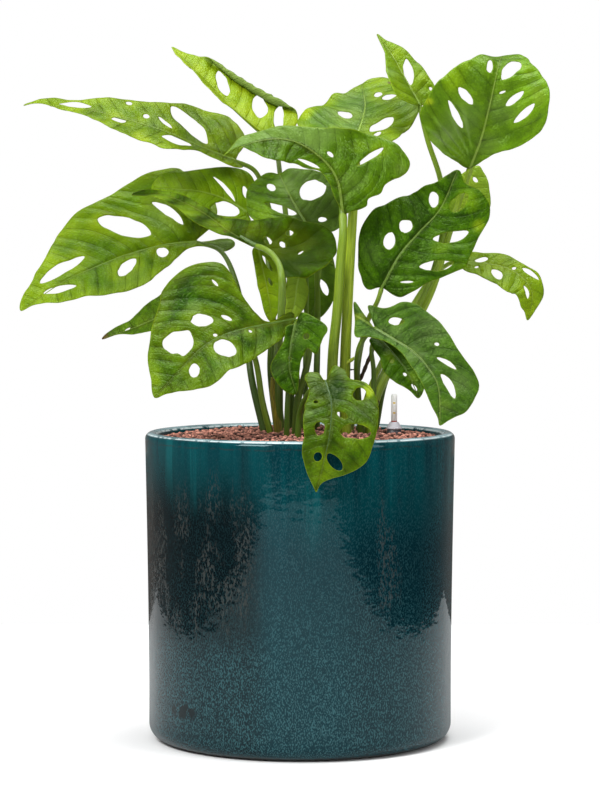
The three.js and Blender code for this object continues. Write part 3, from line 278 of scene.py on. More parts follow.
    stalk=[(151, 26, 504), (144, 34, 483), (134, 28, 451), (120, 18, 406), (99, 8, 365), (72, 2, 315)],
), dict(
    name="leaf_right_large", slot="leaf_deep", tone=(0.2, 0.02, 0), stem=(0.5, 0.3, 0.1), rib_pale=0.45,
    face=[(0, -0.95, 0.3)], fold=(8, 4, 8, 4), bend=(-12, -15), wave=(1.4, 60, 60),
    stalk=[(69, -16, 395), (60, -2, 375), (53, 8, 342), (50, 8, 306)], root=(46, 6), radius=(2.2, 2.8),
    spots=[
        (-22, 21, 13, 11, -0.02, 0, 0.15), (-12, 65, 14, 14, -0.12, 0, 0),
        (19, 109, 13, 12, 0.22, 0.12, -0.1), (38, 94, 7, 5, 0.2, 0.35, 0), (0, 93, 9, 9, 0.1, 0.05, 0),
        (23, 65, 11, 13, 0.12, 0.1, 0), (-2, 123, 6, 7, -0.25, 0, 0.1), (53, 60, 9, 7, 0.1, 0.1, 0),
    ],
    rib=[(73, -20, 408), (89, -20, 437), (107, -16, 458), (126, -8, 479), (142, 2, 514)],
    left=[(-10, -7), (-22, 0), (-33, 16), (-42, 34), (-43, 50), (-36, 70), (-25, 98), (-13, 112)],
    right=[
        (19, 1), (34, 22), (48, 52), (54, 63), (48, 78), (43, 89), (43, 101), (38, 111), (26, 119),
        (12, 121),
    ],
    holes=[
        (-13, 57, 6, 6, -1), (-15, 38, 5, 7, 38), (-9, 95, 8, 4.5, -66), (13, 103, 10, 6, 70),
        (24, 75, 15, 5, 50), (32, 46, 16, 4.5, 48), (18, 15, 6, 1, 29),
    ],
), dict(
    name="leaf_far_right", slot="leaf_bright", tone=(0.5, 0.4, 0), stem=(0.6, 0.35, 0), shady=0.25,
    face=[(0, -0.7, 0.7), (0.2, -0.7, 0.7), (0.6, -0.7, 0.3)], fold=(5, 0, 5, 0), bend=(-10, -8),
    wave=(1, 50, 0), right=[(10, 2), (22, 29), (27, 61), (14, 90), (6, 96)], root=(57, 34), radius=(2, 3),
    spots=[
        (0, -11, 12, 9, 0, 0, 0.3), (-2, 30, 10, 8, 0.1, 0.1, 0), (1, 76, 11, 10, -0.08, 0, 0),
        (-13, 48, 10, 6, 0.1, 0.15, 0),
    ],
    rib=[(151, 46, 431), (174, 38, 429), (196, 28, 422), (211, 20, 404), (207, 14, 378)],
    left=[(-13, 3), (-12, 17), (-16, 31), (-12, 48), (-16, 64), (-12, 77), (-7, 88)],
    holes=[
        (-4, 15, 6, 3, 109), (6, 13, 2, 1.5, 94), (13, 38, 10, 4.5, 54), (-3, 47, 2, 1.5, 150),
        (-10, 60, 8, 3, 106), (6, 75, 8, 2.5, 92),
    ],
    stalk=[(137, 56, 429), (118, 56, 412), (96, 44, 378), (74, 36, 337), (61, 34, 305)],
), dict(
    name="leaf_right_behind", slot="leaf_pale", tone=(0.95, 0.5, 0.25), stem=(0.42, 0.12, 0),
    face=[(0.2, -0.9, 0.3)], fold=(5, 5, 5, 5), bend=(-5, -20), left=[(-14, 6), (-16, 21), (-12, 37)],
    right=[(19, 4), (27, 17), (28, 31), (18, 47), (9, 56)], holes=[(5, 45, 2, 3, 65)], root=(70, 46),
    radius=(1.9, 2.8),
    rib=[(138, 58, 471), (146, 62, 486), (154, 68, 501), (163, 76, 520)],
    stalk=[(132, 66, 451), (122, 68, 414), (100, 58, 368), (79, 48, 322)],
), dict(
    name="leaf_lower_right", slot="leaf_deep", tone=(0.26, 0, 0.15), stem=(0.42, 0.12, 0), rib_pale=0.75,
    pucker=1.5, shade={"left": -0.1}, face=[(0, -0.95, 0.3)], fold=(6, 3, 30, 20), bend=(-12, 0),
    wave=(1.4, 60, 0), stalk=[(56, -38, 362), (51, -30, 344), (52, -14, 312)], root=(55, -8),
    radius=(2.4, 3.2),
    spots=[
        (-10, -16, 9, 10, -0.12, 0, 0.1), (-28, 45, 12, 11, -0.05, 0, 0.15),
        (-18, 87, 12, 9, 0.08, 0, 0.3), (-9, 19, 7, 8, 0.12, 0, 0.25), (-3, 103, 7, 7, 0.08, 0.1, 0.1),
        (1, 50, 11, 10, 0, 0, 0.25),
    ],
    rib=[
        (66, -44, 373), (83, -54, 363), (99, -64, 353), (112, -74, 339), (121, -84, 321), (122, -94, 289),
    ],
    left=[
        (-14, -18), (-20, -1), (-32, 8), (-38, 21), (-36, 39), (-32, 56), (-31, 72), (-35, 83), (-35, 92),
        (-23, 108), (-9, 116),
    ],
    right=[
        (-11, -30), (6, -18), (22, -4), (13, 6), (7, 19), (9, 36), (13, 58), (14, 85), (7, 104), (2, 115),
    ],
    holes=[(-19, 54, 2, 1.5, 127), (-16, 70, 9, 2, 120), (-10, 87, 11, 3.5, 108), (-15, 14, 7, 3.5, 120)],
), dict(
    name="leaf_lower_right_small", slot="leaf_bright", tone=(0.2, 0.02, 0), stem=(0.42, 0.12, 0),
    spots=[(4, 23, 6, 7, 0.1, 0.1, 0), (-2, 53, 6, 7, 0.15, 0.15, 0)], face=[(0, -0.95, 0.2)],
    fold=(8, 4, 8, 4), bend=(-8, -8), left=[(-6, 6), (-8, 25), (-9, 46), (-9, 63)],
    right=[(9, 0), (12, 19), (17, 32), (13, 51), (5, 63)],
    stalk=[(64, -22, 354), (66, -16, 334), (66, -18, 307)], root=(65, -20), radius=(1.9, 2.6),
    rib=[(69, -28, 365), (82, -36, 351), (95, -46, 334), (105, -58, 311)],
    holes=[(6, 28, 2, 2, 103), (3, 46, 2, 1.5, 104), (0, 61, 4, 1.5, 106)],
), dict(
    name="leaf_over_rim", slot="leaf_mid", tone=(0.1, 0, 0), stem=(0.42, 0.12, 0), rib_pale=0.15,
    shade={"edge_yellow": 0.12}, face=[(0, -0.9, 0.45), (0, -1, 0.15), (0, -1, 0.1)], fold=(5, 3, 5, 3),
    bend=(-8, -8), wave=(0.8, 50, 0), stalk=[(16, -102, 326), (7, -84, 316), (0, -66, 299)],
    root=(-2, -62), radius=(2.2, 2.8),
    spots=[
        (-9, 6, 10, 15, -0.25, -0.05, 0), (7, 15, 7, 10, -0.15, 0, 0), (-34, 21, 6, 5, 0.3, 0.5, 0),
        (-28, 49, 7, 6, 0.15, 0.25, 0), (-2, 85, 14, 14, 0.12, 0.1, 0), (9, -8, 5, 7, 0, 0, 0.5),
        (-17, 62, 12, 10, 0.06, 0.05, 0), (20, 39, 5, 7, 0.1, 0, 0.3), (-15, -7, 6, 8, -0.05, 0, 0.4),
    ],
    rib=[(22, -112, 329), (27, -132, 309), (25, -146, 284), (21, -150, 265), (14, -152, 236)],
    left=[
        (-10, -16), (-18, -9), (-21, 4), (-33, 15), (-39, 26), (-40, 38), (-40, 51), (-37, 66), (-31, 79),
        (-16, 90), (-3, 98),
    ],
    right=[
        (4, -10), (12, -14), (17, -7), (16, 9), (23, 27), (24, 46), (21, 61), (20, 79), (12, 93), (4, 103),
    ],
    holes=[
        (-25, 22, 6, 5, -164), (-9, 38, 5, 2.5, 154), (-22, 52, 13, 6.5, -179), (9, 53, 6, 4.5, 92),
        (6, 78, 4, 3.5, 74), (-9, 79, 9, 4.5, 144), (13, 23, 2, 2, 115),
    ],
), dict(
    name="leaf_lower_left", slot="leaf_mid", tone=(0.17, 0, 0), stem=(0.35, 0.2, 0), rib_pale=0.2,
    shade={"edge_yellow": 0.2}, brown=[(62, 38, 2), (57, 26, 2.5), (50, 14, 2)], face=[(-0.1, -0.9, 0.4)],
    fold=(5, 3, 8, 4), bend=(-8, -14), wave=(1.6, 60, 120), root=(-4, -34), radius=(2.6, 3.6),
    spots=[
        (35, 77, 8, 5, 0.02, 0, 0.45), (36, 39, 13, 15, 0.1, 0.08, 0), (4, 136, 14, 15, 0.12, 0.08, 0),
        (40, 103, 11, 9, -0.05, 0, 0.05), (-30, 104, 13, 16, 0.1, 0.05, 0.1),
        (-20, 39, 12, 12, 0.05, 0, 0.15), (64, 72, 10, 5, -0.12, 0, 0), (7, 148, 5, 6, 0.1, 0.1, 0),
    ],
    rib=[
        (-5, -50, 381), (-33, -64, 376), (-63, -80, 369), (-84, -94, 358), (-101, -106, 341),
        (-125, -124, 315),
    ],
    left=[(-16, 16), (-26, 40), (-34, 69), (-33, 112), (-22, 133), (-7, 149)],
    right=[
        (7, 2), (2, 25), (16, 36), (39, 41), (62, 43), (70, 58), (73, 69), (67, 83), (51, 99), (39, 120),
        (28, 136), (14, 149),
    ],
    holes=[
        (18, 107, 13, 11, -139), (-10, 118, 7, 4.5, 125), (-13, 79, 11, 10, -114), (21, 79, 9, 6, -127),
        (3, 78, 2, 1.5, -117), (14, 61, 5, 2, -139), (48, 58, 4, 1, -167), (-4, 46, 2, 1.5, -169),
    ],
    stalk=[(4, -44, 371), (8, -38, 353), (4, -34, 330), (-2, -34, 308)],
), dict(
    name="leaf_far_left_small", slot="leaf_bright", tone=(0.22, 0.1, 0.05), stem=(0.5, 0.3, 0), shady=0.3,
    brown=[(0, 96, 7)], spots=[(3, 55, 9, 8, 0.1, 0.1, 0), (2, 87, 7, 6, -0.15, 0, 0.1)],
    face=[(-0.1, -0.7, 0.7)], fold=(0, 0, 10, 5), bend=(-5, -12),
    left=[(-22, 10), (-17, 33), (-10, 58), (-2, 78)],
    right=[(21, 1), (25, 16), (21, 35), (18, 53), (10, 67), (9, 83)], holes=[(1, 70, 3, 1, -82)],
    root=(-27, -20), radius=(1.9, 3),
    rib=[(-94, -10, 397), (-122, -4, 384), (-149, 4, 372), (-180, 14, 361)],
    stalk=[(-70, -12, 401), (-54, -14, 381), (-40, -18, 343), (-34, -20, 307)],
), dict(
    name="leaf_centre_low", slot="leaf_mid", tone=(0.18, 0.02, 0), stem=(0.42, 0.12, 0),
    face=[(0, -1, 0.2)], fold=(5, 3, 5, 3), bend=(-5, -10),
    right=[(8, 6), (7, 16), (11, 29), (17, 40), (15, 50), (8, 61)],
    holes=[(-12, 11, 3, 2.5, -120), (0, 33, 2, 1, 114)],
    stalk=[(-6, -60, 362), (-9, -56, 340), (-11, -52, 309)], root=(-12, -50), radius=(1.9, 2.6),
    spots=[(9, 40, 9, 7, -0.12, 0, 0.15), (-6, 16, 9, 10, 0.1, 0, 0.15), (2, 31, 7, 7, 0.1, 0, 0.1)],
    rib=[(-4, -64, 378), (-8, -70, 358), (-9, -74, 337), (-3, -78, 316)],
    left=[(-3, -10), (-18, -7), (-29, 1), (-26, 12), (-23, 26), (-15, 22), (-11, 32), (-7, 50)],
), dict(
    name="leaf_narrow", slot="leaf_bright", tone=(0.68, 0.38, 0), stem=(0.42, 0.12, 0),
    spots=[(3, 37, 7, 7, 0.1, 0.15, 0), (-18, 21, 8, 8, -0.1, 0, 0)], face=[(-0.3, -0.9, 0.1)],
    fold=(15, 10, 15, 10), bend=(0, 0), left=[(-12, 6), (-18, 25), (-16, 44), (-9, 60)],
    right=[(6, 3), (7, 19), (8, 41), (5, 63)], holes=[(-6, 17, 9, 2, 114), (-5, 34, 4, 2, 110)],
    root=(-21, 8), radius=(1.9, 3),
    rib=[(-38, 8, 445), (-34, 6, 426), (-29, 4, 404), (-25, 2, 377)],
    stalk=[(-33, 14, 453), (-26, 18, 431), (-25, 14, 378), (-27, 6, 333)],
), dict(
    name="leaf_pale_low", slot="leaf_pale", tone=(1, 0.5, 0.3), stem=(0.42, 0.12, 0),
    rib=[(0, 6, 422), (-3, 2, 408), (-5, 0, 393), (-11, -2, 375)], face=[(0.1, -1, 0.1)],
    fold=(5, 5, 5, 5), bend=(0, 0), left=[(-6, 5), (-11, 17), (-10, 29), (-6, 39)],
    right=[(7, 5), (10, 17), (8, 30), (6, 41)], holes=[],
    stalk=[(4, 12, 429), (6, 16, 406), (5, 10, 360), (5, 4, 306)], root=(5, 2), radius=(1.9, 2.6),
), dict(
    name="leaf_dark_low", slot="leaf_deep", tone=(0.45, 0.08, 0.2), stem=(0.42, 0.12, 0),
    rib=[(20, 56, 431), (18, 54, 414), (15, 52, 396), (7, 50, 374)], face=[(0, -1, 0.1)],
    fold=(5, 5, 5, 5), bend=(0, 0), left=[(-11, 1), (-17, 16), (-16, 32), (-10, 48)],
    right=[(14, 7), (16, 24), (12, 41), (6, 53)], holes=[(-5, 23, 8, 3, 121)],
    stalk=[(28, 62, 436), (33, 60, 396), (31, 48, 322)], root=(29, 44), radius=(1.9, 2.8),
)]

# The dry aerial root: points from its free end down, and where it enters the granules.
AERIAL_ROOT = {
    "path": [(68, 4, 356), (62, 10, 342), (55, 16, 325), (46, 18, 311)],
    "root": (42, 18),
    "radius": (1.6, 2),
}

# Small growth, each as points along its middle: the old sheath, its collar, and three dry rootlets.
SHEATH = [(-25, -20, 328), (-23, -20.5, 310), (-20.5, -19.5, 290), (-19, -19, 268)]
COLLAR = [(48.5, -16, 346), (46.5, -20.5, 344), (42, -21.5, 341), (37, -20, 336), (34.5, -18.5, 336)]
RIBBON_SIDES = 12
ROOTLETS = (
    ((43, -14, 343), (47.5, -15, 344), (53.5, -15.5, 346.5)),
    ((43, -14, 334), (48, -15, 334.5), (52.5, -15.5, 334)),
    ((66, 0, 313), (69, -1, 309), (72.5, -2, 302.5)),
)
ROOTLET_RADIUS = 0.85


# Curves and surfaces


def unit(v):
    return v / np.maximum(np.linalg.norm(v, axis=-1, keepdims=True), 1e-12)


def smooth_span(p0, p1, p2, p3, count):
    """Points from p1 up to p2, on the smooth curve through all four."""
    t = np.linspace(0, 1, count, endpoint=False)[:, None]
    t2, t3 = t * t, t * t * t
    m1, m2 = 0.5 * (p2 - p0), 0.5 * (p3 - p1)
    return (2 * t3 - 3 * t2 + 1) * p1 + (t3 - 2 * t2 + t) * m1 + (3 * t2 - 2 * t3) * p2 + (t3 - t2) * m2


def curve_through(points, per=40):
    """Smooth open curve through points, its ends carried straight on."""
    p = np.asarray(points, float)
    ext = np.vstack([2 * p[0] - p[1], p, 2 * p[-1] - p[-2]])
    return np.vstack([smooth_span(*ext[i:i + 4], per) for i in range(len(p) - 1)] + [p[-1:]])


def closed_curve(points, step):
    """Smooth closed curve through points, with a vertex about every step."""
    p = np.asarray(points, float)
    n, out = len(p), []
    for i in range(n):
        a, b = p[i], p[(i + 1) % n]
        count = max(2, int(round(np.linalg.norm(b - a) / step)))
        out.append(smooth_span(p[i - 1], a, b, p[(i + 2) % n], count))
    return np.vstack(out)


def smoothstep(a, b, x):
    t = np.clip((x - a) / (b - a), 0, 1)
    return t * t * (3 - 2 * t)


def ripple(x, y, size, seed):
    """Smooth unevenness between -1 and 1, with humps about size across, the same on each run."""
    gx, gy = np.asarray(x) / size, np.asarray(y) / size
    i, j = np.floor(gx), np.floor(gy)
    u, v = (t * t * (3 - 2 * t) for t in (gx - i, gy - j))

    def lattice(a, b):
        value = np.sin(a * 127.1 + b * 311.7 + seed * 74.7) * 43758.5453
        return 2 * (value - np.floor(value)) - 1

    low = lattice(i, j) * (1 - u) + lattice(i + 1, j) * u
    high = lattice(i, j + 1) * (1 - u) + lattice(i + 1, j + 1) * u
    return low * (1 - v) + high * v


def curl(angle, curvature, length):
    """Distance across and height of an arc that starts at a given angle."""
    k = np.where(np.abs(curvature) < 1e-6, 1e-6, curvature)
    return (np.sin(angle + k * length) - np.sin(angle)) / k, (np.cos(angle) - np.cos(angle + k * length)) / k


def lengths_along(path):
    return np.concatenate([[0], np.cumsum(np.linalg.norm(np.diff(path, axis=0), axis=1))])


class Surface:
    """The bent leaf: a point of the flat leaf, in mm, goes to its place in space."""

    def __init__(self, leaf):
        self.leaf = leaf
        self.path = curve_through(leaf["rib"])
        self.along = lengths_along(self.path)
        self.length = self.along[-1]
        self.tangent = unit(np.gradient(self.path, axis=0))
        self.faces = unit(np.array(leaf["face"] * (3 // len(leaf["face"])), float))

    def frame(self, y):
        inside = np.clip(y, 0, self.length)
        point, t = (
            np.stack([np.interp(inside, self.along, line[:, k]) for k in range(3)], -1)
            for line in (self.path, self.tangent)
        )
        t = unit(t)
        f = inside / self.length
        marks = [0, self.leaf.get("middle", 0.5), 1]
        look = np.stack([np.interp(f, marks, self.faces[:, k]) for k in range(3)], -1)
        up = unit(look - (look * t).sum(-1, keepdims=True) * t)
        return f, point + t * (y - inside)[..., None], up, np.cross(t, up)

    def at(self, x, y):
        f, point, up, right = self.frame(y)
        leaf = self.leaf
        l0, l1, r0, r1 = np.radians(leaf["fold"])
        is_right = x >= 0
        a = np.where(is_right, r0 + (r1 - r0) * f, l0 + (l1 - l0) * f)
        k = np.where(is_right, *reversed(np.radians(leaf["bend"]) / 100))
        u = np.abs(x)
        limit, rolled = np.full(u.shape, 1e6), np.zeros(u.shape)
        if "roll" in leaf:
            side, begin, *_, rate = leaf["roll"]
            on = is_right == (side > 0)
            limit = np.where(on, roll_line(leaf, y, self.length), limit)
            rolled = np.where(on, math.radians(rate) * smoothstep(begin, begin + 25, y), 0)
        flat = np.minimum(u, limit)
        across, high = curl(a, k, flat)
        dx, dh = curl(a + k * flat, k + rolled, u - flat)
        across, high = across + dx, high + dh
        if "wave" in leaf:
            height, wavelength, phase = leaf["wave"]
            turn = TURN * y / wavelength + math.radians(phase) + np.where(is_right, 0, 2)
            high = high + height * np.minimum((flat / 30) ** 2, 2) * np.sin(turn)
        return point + right * np.where(is_right, across, -across)[..., None] + up * high[..., None]

    def normal(self, x, y, step=0.6):
        across = self.at(x + step, y) - self.at(x - step, y)
        along = self.at(x, y + step) - self.at(x, y - step)
        return unit(np.cross(across, along))


def roll_line(leaf, y, length):
    """How far from the midrib the rolled side begins to roll."""
    _, begin, at_start, at_tip, _ = leaf["roll"]
    return at_start + (at_tip - at_start) * np.clip((y - begin) / (length - begin), 0, 1)


# Flat outlines


def leaf_outline(leaf, length):
    """The margin through the leaf's readings, with the small uneven bays of a grown edge."""
    edge = closed_curve([(0, 0), *leaf["left"], (0, length), *reversed(leaf["right"])], EDGE_STEP)
    x, y = edge.T
    along = unit(np.roll(edge, -1, 0) - np.roll(edge, 1, 0))
    out = np.stack([along[:, 1], -along[:, 0]], -1)
    seed = leaf["rib"][0][0]
    uneven = 0.7 * ripple(x, y, 17, seed) + 0.45 * ripple(x, y, 7, seed + 3)
    still = smoothstep(3, 14, np.minimum(np.hypot(x, y), np.hypot(x, y - length)))
    return edge + out * (uneven * still)[:, None]


def leaf_hole(hole, number):
    """An uneven oval, pinched to a lens where it is long."""
    x, y, half_length, half_width, angle = hole
    count = max(14, int(TURN * math.sqrt(half_length * half_width) / EDGE_STEP))
    t = np.arange(count) * TURN / count
    cos, sin = np.cos(t), np.sin(t)
    uneven = 1 + (0.17 if half_length > 12 else 0.11) * ripple(2.6 * cos, 2.6 * sin, 1, x + number)
    lens = np.sign(sin) * np.abs(sin) ** (1.25 if half_length > 2 * half_width else 1.0)
    u = half_length * cos * (1 + 0.03 * np.cos(3 * t + number))
    v = half_width * lens * uneven * (1 + 0.22 * math.cos(number) * cos)
    c, s = math.cos(math.radians(angle)), math.sin(math.radians(angle))
    return np.stack([x + u * c - v * s, y + u * s + v * c], -1)


def inside(points, ring):
    x, y = points[:, 0:1], points[:, 1:2]
    x1, y1 = ring.T
    x2, y2 = np.roll(x1, -1), np.roll(y1, -1)
    with np.errstate(divide="ignore", invalid="ignore"):
        at = x1 + (y - y1) * (x2 - x1) / (y2 - y1)
    return (((y1 > y) != (y2 > y)) & (x < at)).sum(1) % 2 == 1


def distance(points, ring):
    """From each point to the nearest side of the ring, worked out in batches."""
    d = np.roll(ring, -1, 0) - ring
    best = []
    for start in range(0, len(points), 2000):
        p = points[start:start + 2000, None, :] - ring
        t = np.clip((p * d).sum(-1) / np.maximum((d * d).sum(-1), 1e-9), 0, 1)
        best.append(np.linalg.norm(p - t[..., None] * d, axis=-1).min(1))
    return np.concatenate(best)


def fill_flat(outline, holes, length):
    """Even triangles inside the outline and outside the holes, with rows of points along the midrib."""
    low, high = outline.min(0), outline.max(0)
    grid = []
    for j, y in enumerate(np.arange(low[1], high[1], BLADE_PITCH * ROW)):
        x = np.arange(low[0], high[0], BLADE_PITCH) + (j % 2) * BLADE_PITCH / 2
        grid.append(np.stack([x, np.full(len(x), y)], -1))
    grid = np.vstack(grid)
    grid = grid[np.abs(grid[:, 0]) > 4.2 * rib_width(grid[:, 1], length)]
    y = np.arange(0.5, length - 1, 1.9)
    rib = [np.stack([k * rib_width(y, length), y], -1) for k in (-3.2, -2.1, -1.1, 0, 1.1, 2.1, 3.2)]
    free = np.vstack([*rib, grid])
    keep = inside(free, outline) & (distance(free, outline) > EDGE_GAP)
    for ring in holes:
        keep &= ~inside(free, ring)
        keep[keep] &= distance(free[keep], ring) > EDGE_GAP
    edges, start = [], 0
    for ring in [outline, *holes]:
        n = len(ring)
        edges += [(start + i, start + (i + 1) % n) for i in range(n)]
        start += n
    points = np.vstack([outline, *holes, free[keep]])
    made = geometry.delaunay_2d_cdt([Vector(p) for p in points], edges, [], 0, 1e-4)
    flat = np.array([v[:] for v in made[0]])
    faces = np.array([f for f in made[2] if len(f) == 3])
    middle = flat[faces].mean(1)
    keep = inside(middle, outline)
    for ring in holes:
        keep &= ~inside(middle, ring)
    faces = faces[keep]
    p, q, r = (flat[faces[:, i]] for i in range(3))
    d1, d2 = q - p, r - p
    area = d1[:, 0] * d2[:, 1] - d1[:, 1] * d2[:, 0]
    faces[area < 0] = faces[area < 0][:, ::-1]
    faces = faces[np.abs(area) > 1e-6]
    used = np.unique(faces)
    number = np.full(len(flat), -1)
    number[used] = np.arange(len(used))
    return flat[used], number[faces]


def rib_width(y, length):
    """Half width of the midrib, in mm, from the stalk to the tip."""
    return np.clip(1.25 * (1 - 0.75 * np.clip(y / length, 0, 1)), 0.35, None)


def veins(x, y, length, seed):
    """Which side vein lies nearest: a phase that is whole on a vein, and the spacing there in mm."""
    spacing = 10 + length * 0.03
    u = np.abs(x)
    rise = 0.34 * u + 0.0078 * u * u
    origin = y - rise
    reach = np.hypot(u, y)
    lobe = -(np.arctan2(u, y) + 0.004 * reach - np.arctan2(u, rise)) / VEIN_FAN
    phase = np.where(origin > 0, origin / spacing, lobe) + np.where(x < 0, 0.4, 0)
    phase = phase + 0.10 * ripple(x, y, 24, seed) * smoothstep(2, 15, u)
    width = np.where(origin > 0, spacing * 0.8, np.maximum(reach * VEIN_FAN, 2.0))
    return phase, np.minimum(width, 16)


def leaf_relief(x, y, edge, length, leaf):
    """Height over the smooth blade: puckers between the veins, the midrib, and slow unevenness."""
    seed = leaf["rib"][0][0]
    off_rib = smoothstep(1, 9, np.abs(x))
    phase, width = veins(x, y, length, seed)
    gap = np.abs(phase - np.round(phase)) * 2
    depth = leaf.get("pucker", 1.25) * np.clip(width / 12, 0.3, 1.1) * (1 + 0.5 * ripple(x, y, 26, seed + 7))
    pucker = depth * (gap ** 0.8 - 0.6) * smoothstep(0, 7, edge) * off_rib
    rib = np.exp(-(x / (1.5 * rib_width(y, length) + 0.2)) ** 2) * (1 - 0.6 * np.clip(y / length, 0, 1))
    crease = leaf.get("ridge", -0.6) * rib * smoothstep(-2, 3, y)
    slow = leaf.get("crinkle", 1.0) * (1.7 * ripple(x, y, 30, seed + 1) + 0.75 * ripple(x, y, 12, seed + 2))
    lip = 0.9 * ripple(x, y, 15, seed + 5) * (1 - smoothstep(0, 9, edge))
    fine = 0.16 * ripple(x, y, 4.6, seed + 4)
    return pucker + crease + (slow + lip + fine) * off_rib + 1.3 * pleats(leaf, x, y)


def pleats(leaf, x, y):
    """Narrow ridges, 0 to 1, that fan out from the stalk over the base of a leaf; 0 where it has none."""
    if not leaf.get("pleated"):
        return np.zeros(len(x))
    angle, reach, left = np.arctan2(y, np.abs(x)), np.hypot(x, y), x < 0
    span = np.where(left, 66, 52)
    where = smoothstep(8, 20, reach) * smoothstep(span, span - 22, reach) * smoothstep(2, 6, np.abs(x))
    where = where * smoothstep(np.where(left, 1.4, 0.95), np.where(left, 1.1, 0.7), angle)
    turn = angle + 0.005 * reach + 0.05 * np.sin(0.09 * reach + np.sign(x))
    return where * np.maximum(0, np.cos(27 * turn + np.where(left, 0, 1.6))) ** 2


# Meshes


def mesh_object(name, points, faces, materials, slots=None, **vectors):
    """A smooth piece from points in mm. Each vector is a named value at every point, for its material."""
    mesh = bpy.data.meshes.new(name)
    mesh.from_pydata((np.asarray(points) * MM).tolist(), [], [[int(i) for i in face] for face in faces])
    mesh.update()
    for material in materials:
        mesh.materials.append(material)
    if slots is not None:
        mesh.polygons.foreach_set("material_index", np.asarray(slots, np.int32))
    mesh.polygons.foreach_set("use_smooth", np.ones(len(mesh.polygons), bool))
    piece = bpy.data.objects.new(name, mesh)
    bpy.context.scene.collection.objects.link(piece)
    for key, values in vectors.items():
        layer = mesh.attributes.new(key, "FLOAT_VECTOR", "POINT")
        values = np.broadcast_to(np.asarray(values, np.float32), (len(points), 3))
        layer.data.foreach_set("vector", values.ravel())
    return piece


def ring_faces(rings, sides):
    """Quads between rings of sides points each, numbered in turn."""
    return [
        (i * sides + k, i * sides + (k + 1) % sides, (i + 1) * sides + (k + 1) % sides, (i + 1) * sides + k)
        for i in range(rings - 1) for k in range(sides)
    ]


def tube(path, radii, sides, flute=0.0, flutes=5):
    """Rings of a round stem along a path, closed at both ends, with angle and length as coordinates."""
    path = np.asarray(path, float)
    along = unit(np.gradient(path, axis=0))
    reach = lengths_along(path)
    side = np.array([1.0, 0, 0])
    n = len(path)
    rings = [None] * n
    angles = np.arange(sides) * TURN / sides
    for i in range(n - 1, -1, -1):
        side = unit(side - side.dot(along[i]) * along[i])
        other = np.cross(along[i], side)
        r = radii[i] * (1 + flute * np.cos(flutes * angles))
        rings[i] = path[i] + r[:, None] * (np.cos(angles)[:, None] * side + np.sin(angles)[:, None] * other)
    points = np.vstack(rings + [path[:1], path[-1:]])
    faces = ring_faces(n, sides)
    last = (n - 1) * sides
    for k in range(sides):
        m = (k + 1) % sides
        faces += [(m, k, n * sides), (last + k, last + m, n * sides + 1)]
    coords = np.zeros((len(points), 3))
    coords[:n * sides, 0] = np.tile(angles, n)
    coords[:n * sides, 1] = np.repeat(reach, sides)
    coords[n * sides + 1, 1] = reach[-1]
    coords[:, 2] = coords[:, 1] / reach[-1]
    return points, faces, coords


def midrib_start(leaf, outline, length):
    """How far up the blade the midrib stands proud, short of where the tip bends away from it."""
    if leaf.get("underside"):
        return length * 0.13
    y = np.linspace(length * 0.94, 6, 80)
    line = np.stack([np.zeros(len(y)), y], -1)
    off = np.flatnonzero(~inside(line, outline) | (distance(line, outline) < 1.3))
    return y[min(off[-1] + 1, len(y) - 1)] if len(off) else y[0]


def foot_of(root, count):
    """Points straight down into the granules."""
    return [(*root, z) for z in np.linspace(FILL_TOP, FILL_TOP - STALK_DEPTH, count)]


def stalk_path(leaf, surface, outline):
    """From near the tip, under the midrib to the blade's base, then down the stalk into the granules."""
    thin, thick = leaf["radius"]
    y = np.linspace(midrib_start(leaf, outline, surface.length), 0, MIDRIB_RINGS)
    under_radius = np.maximum(0.35, thin * (0.85 - 0.72 * (y / surface.length) ** 0.55))
    zero = np.zeros_like(y)
    side = 1 if leaf.get("underside") else -1
    under = surface.at(zero, y) + side * surface.normal(zero, y) * (under_radius * 0.85)[:, None]
    body = curve_through([under[-1], *leaf["stalk"], (*leaf["root"], FILL_TOP + 6)], 12)[1:]
    foot = foot_of(leaf["root"], 6)
    s = np.linspace(0, 1, len(body))
    radii = thin * 0.85 + (thick - thin * 0.85) * s ** 0.8
    radii = radii * (1 + 0.14 * np.exp(-((s - 0.03) / 0.04) ** 2))
    return np.vstack([under, body, foot]), np.concatenate([under_radius, radii, np.full(len(foot), thick)])


def boundary(faces):
    """Edges that only one triangle has, in its own direction."""
    directed = np.vstack([faces[:, [0, 1]], faces[:, [1, 2]], faces[:, [2, 0]]])
    seen = {tuple(e) for e in directed}
    return [(a, b) for a, b in directed if (b, a) not in seen]


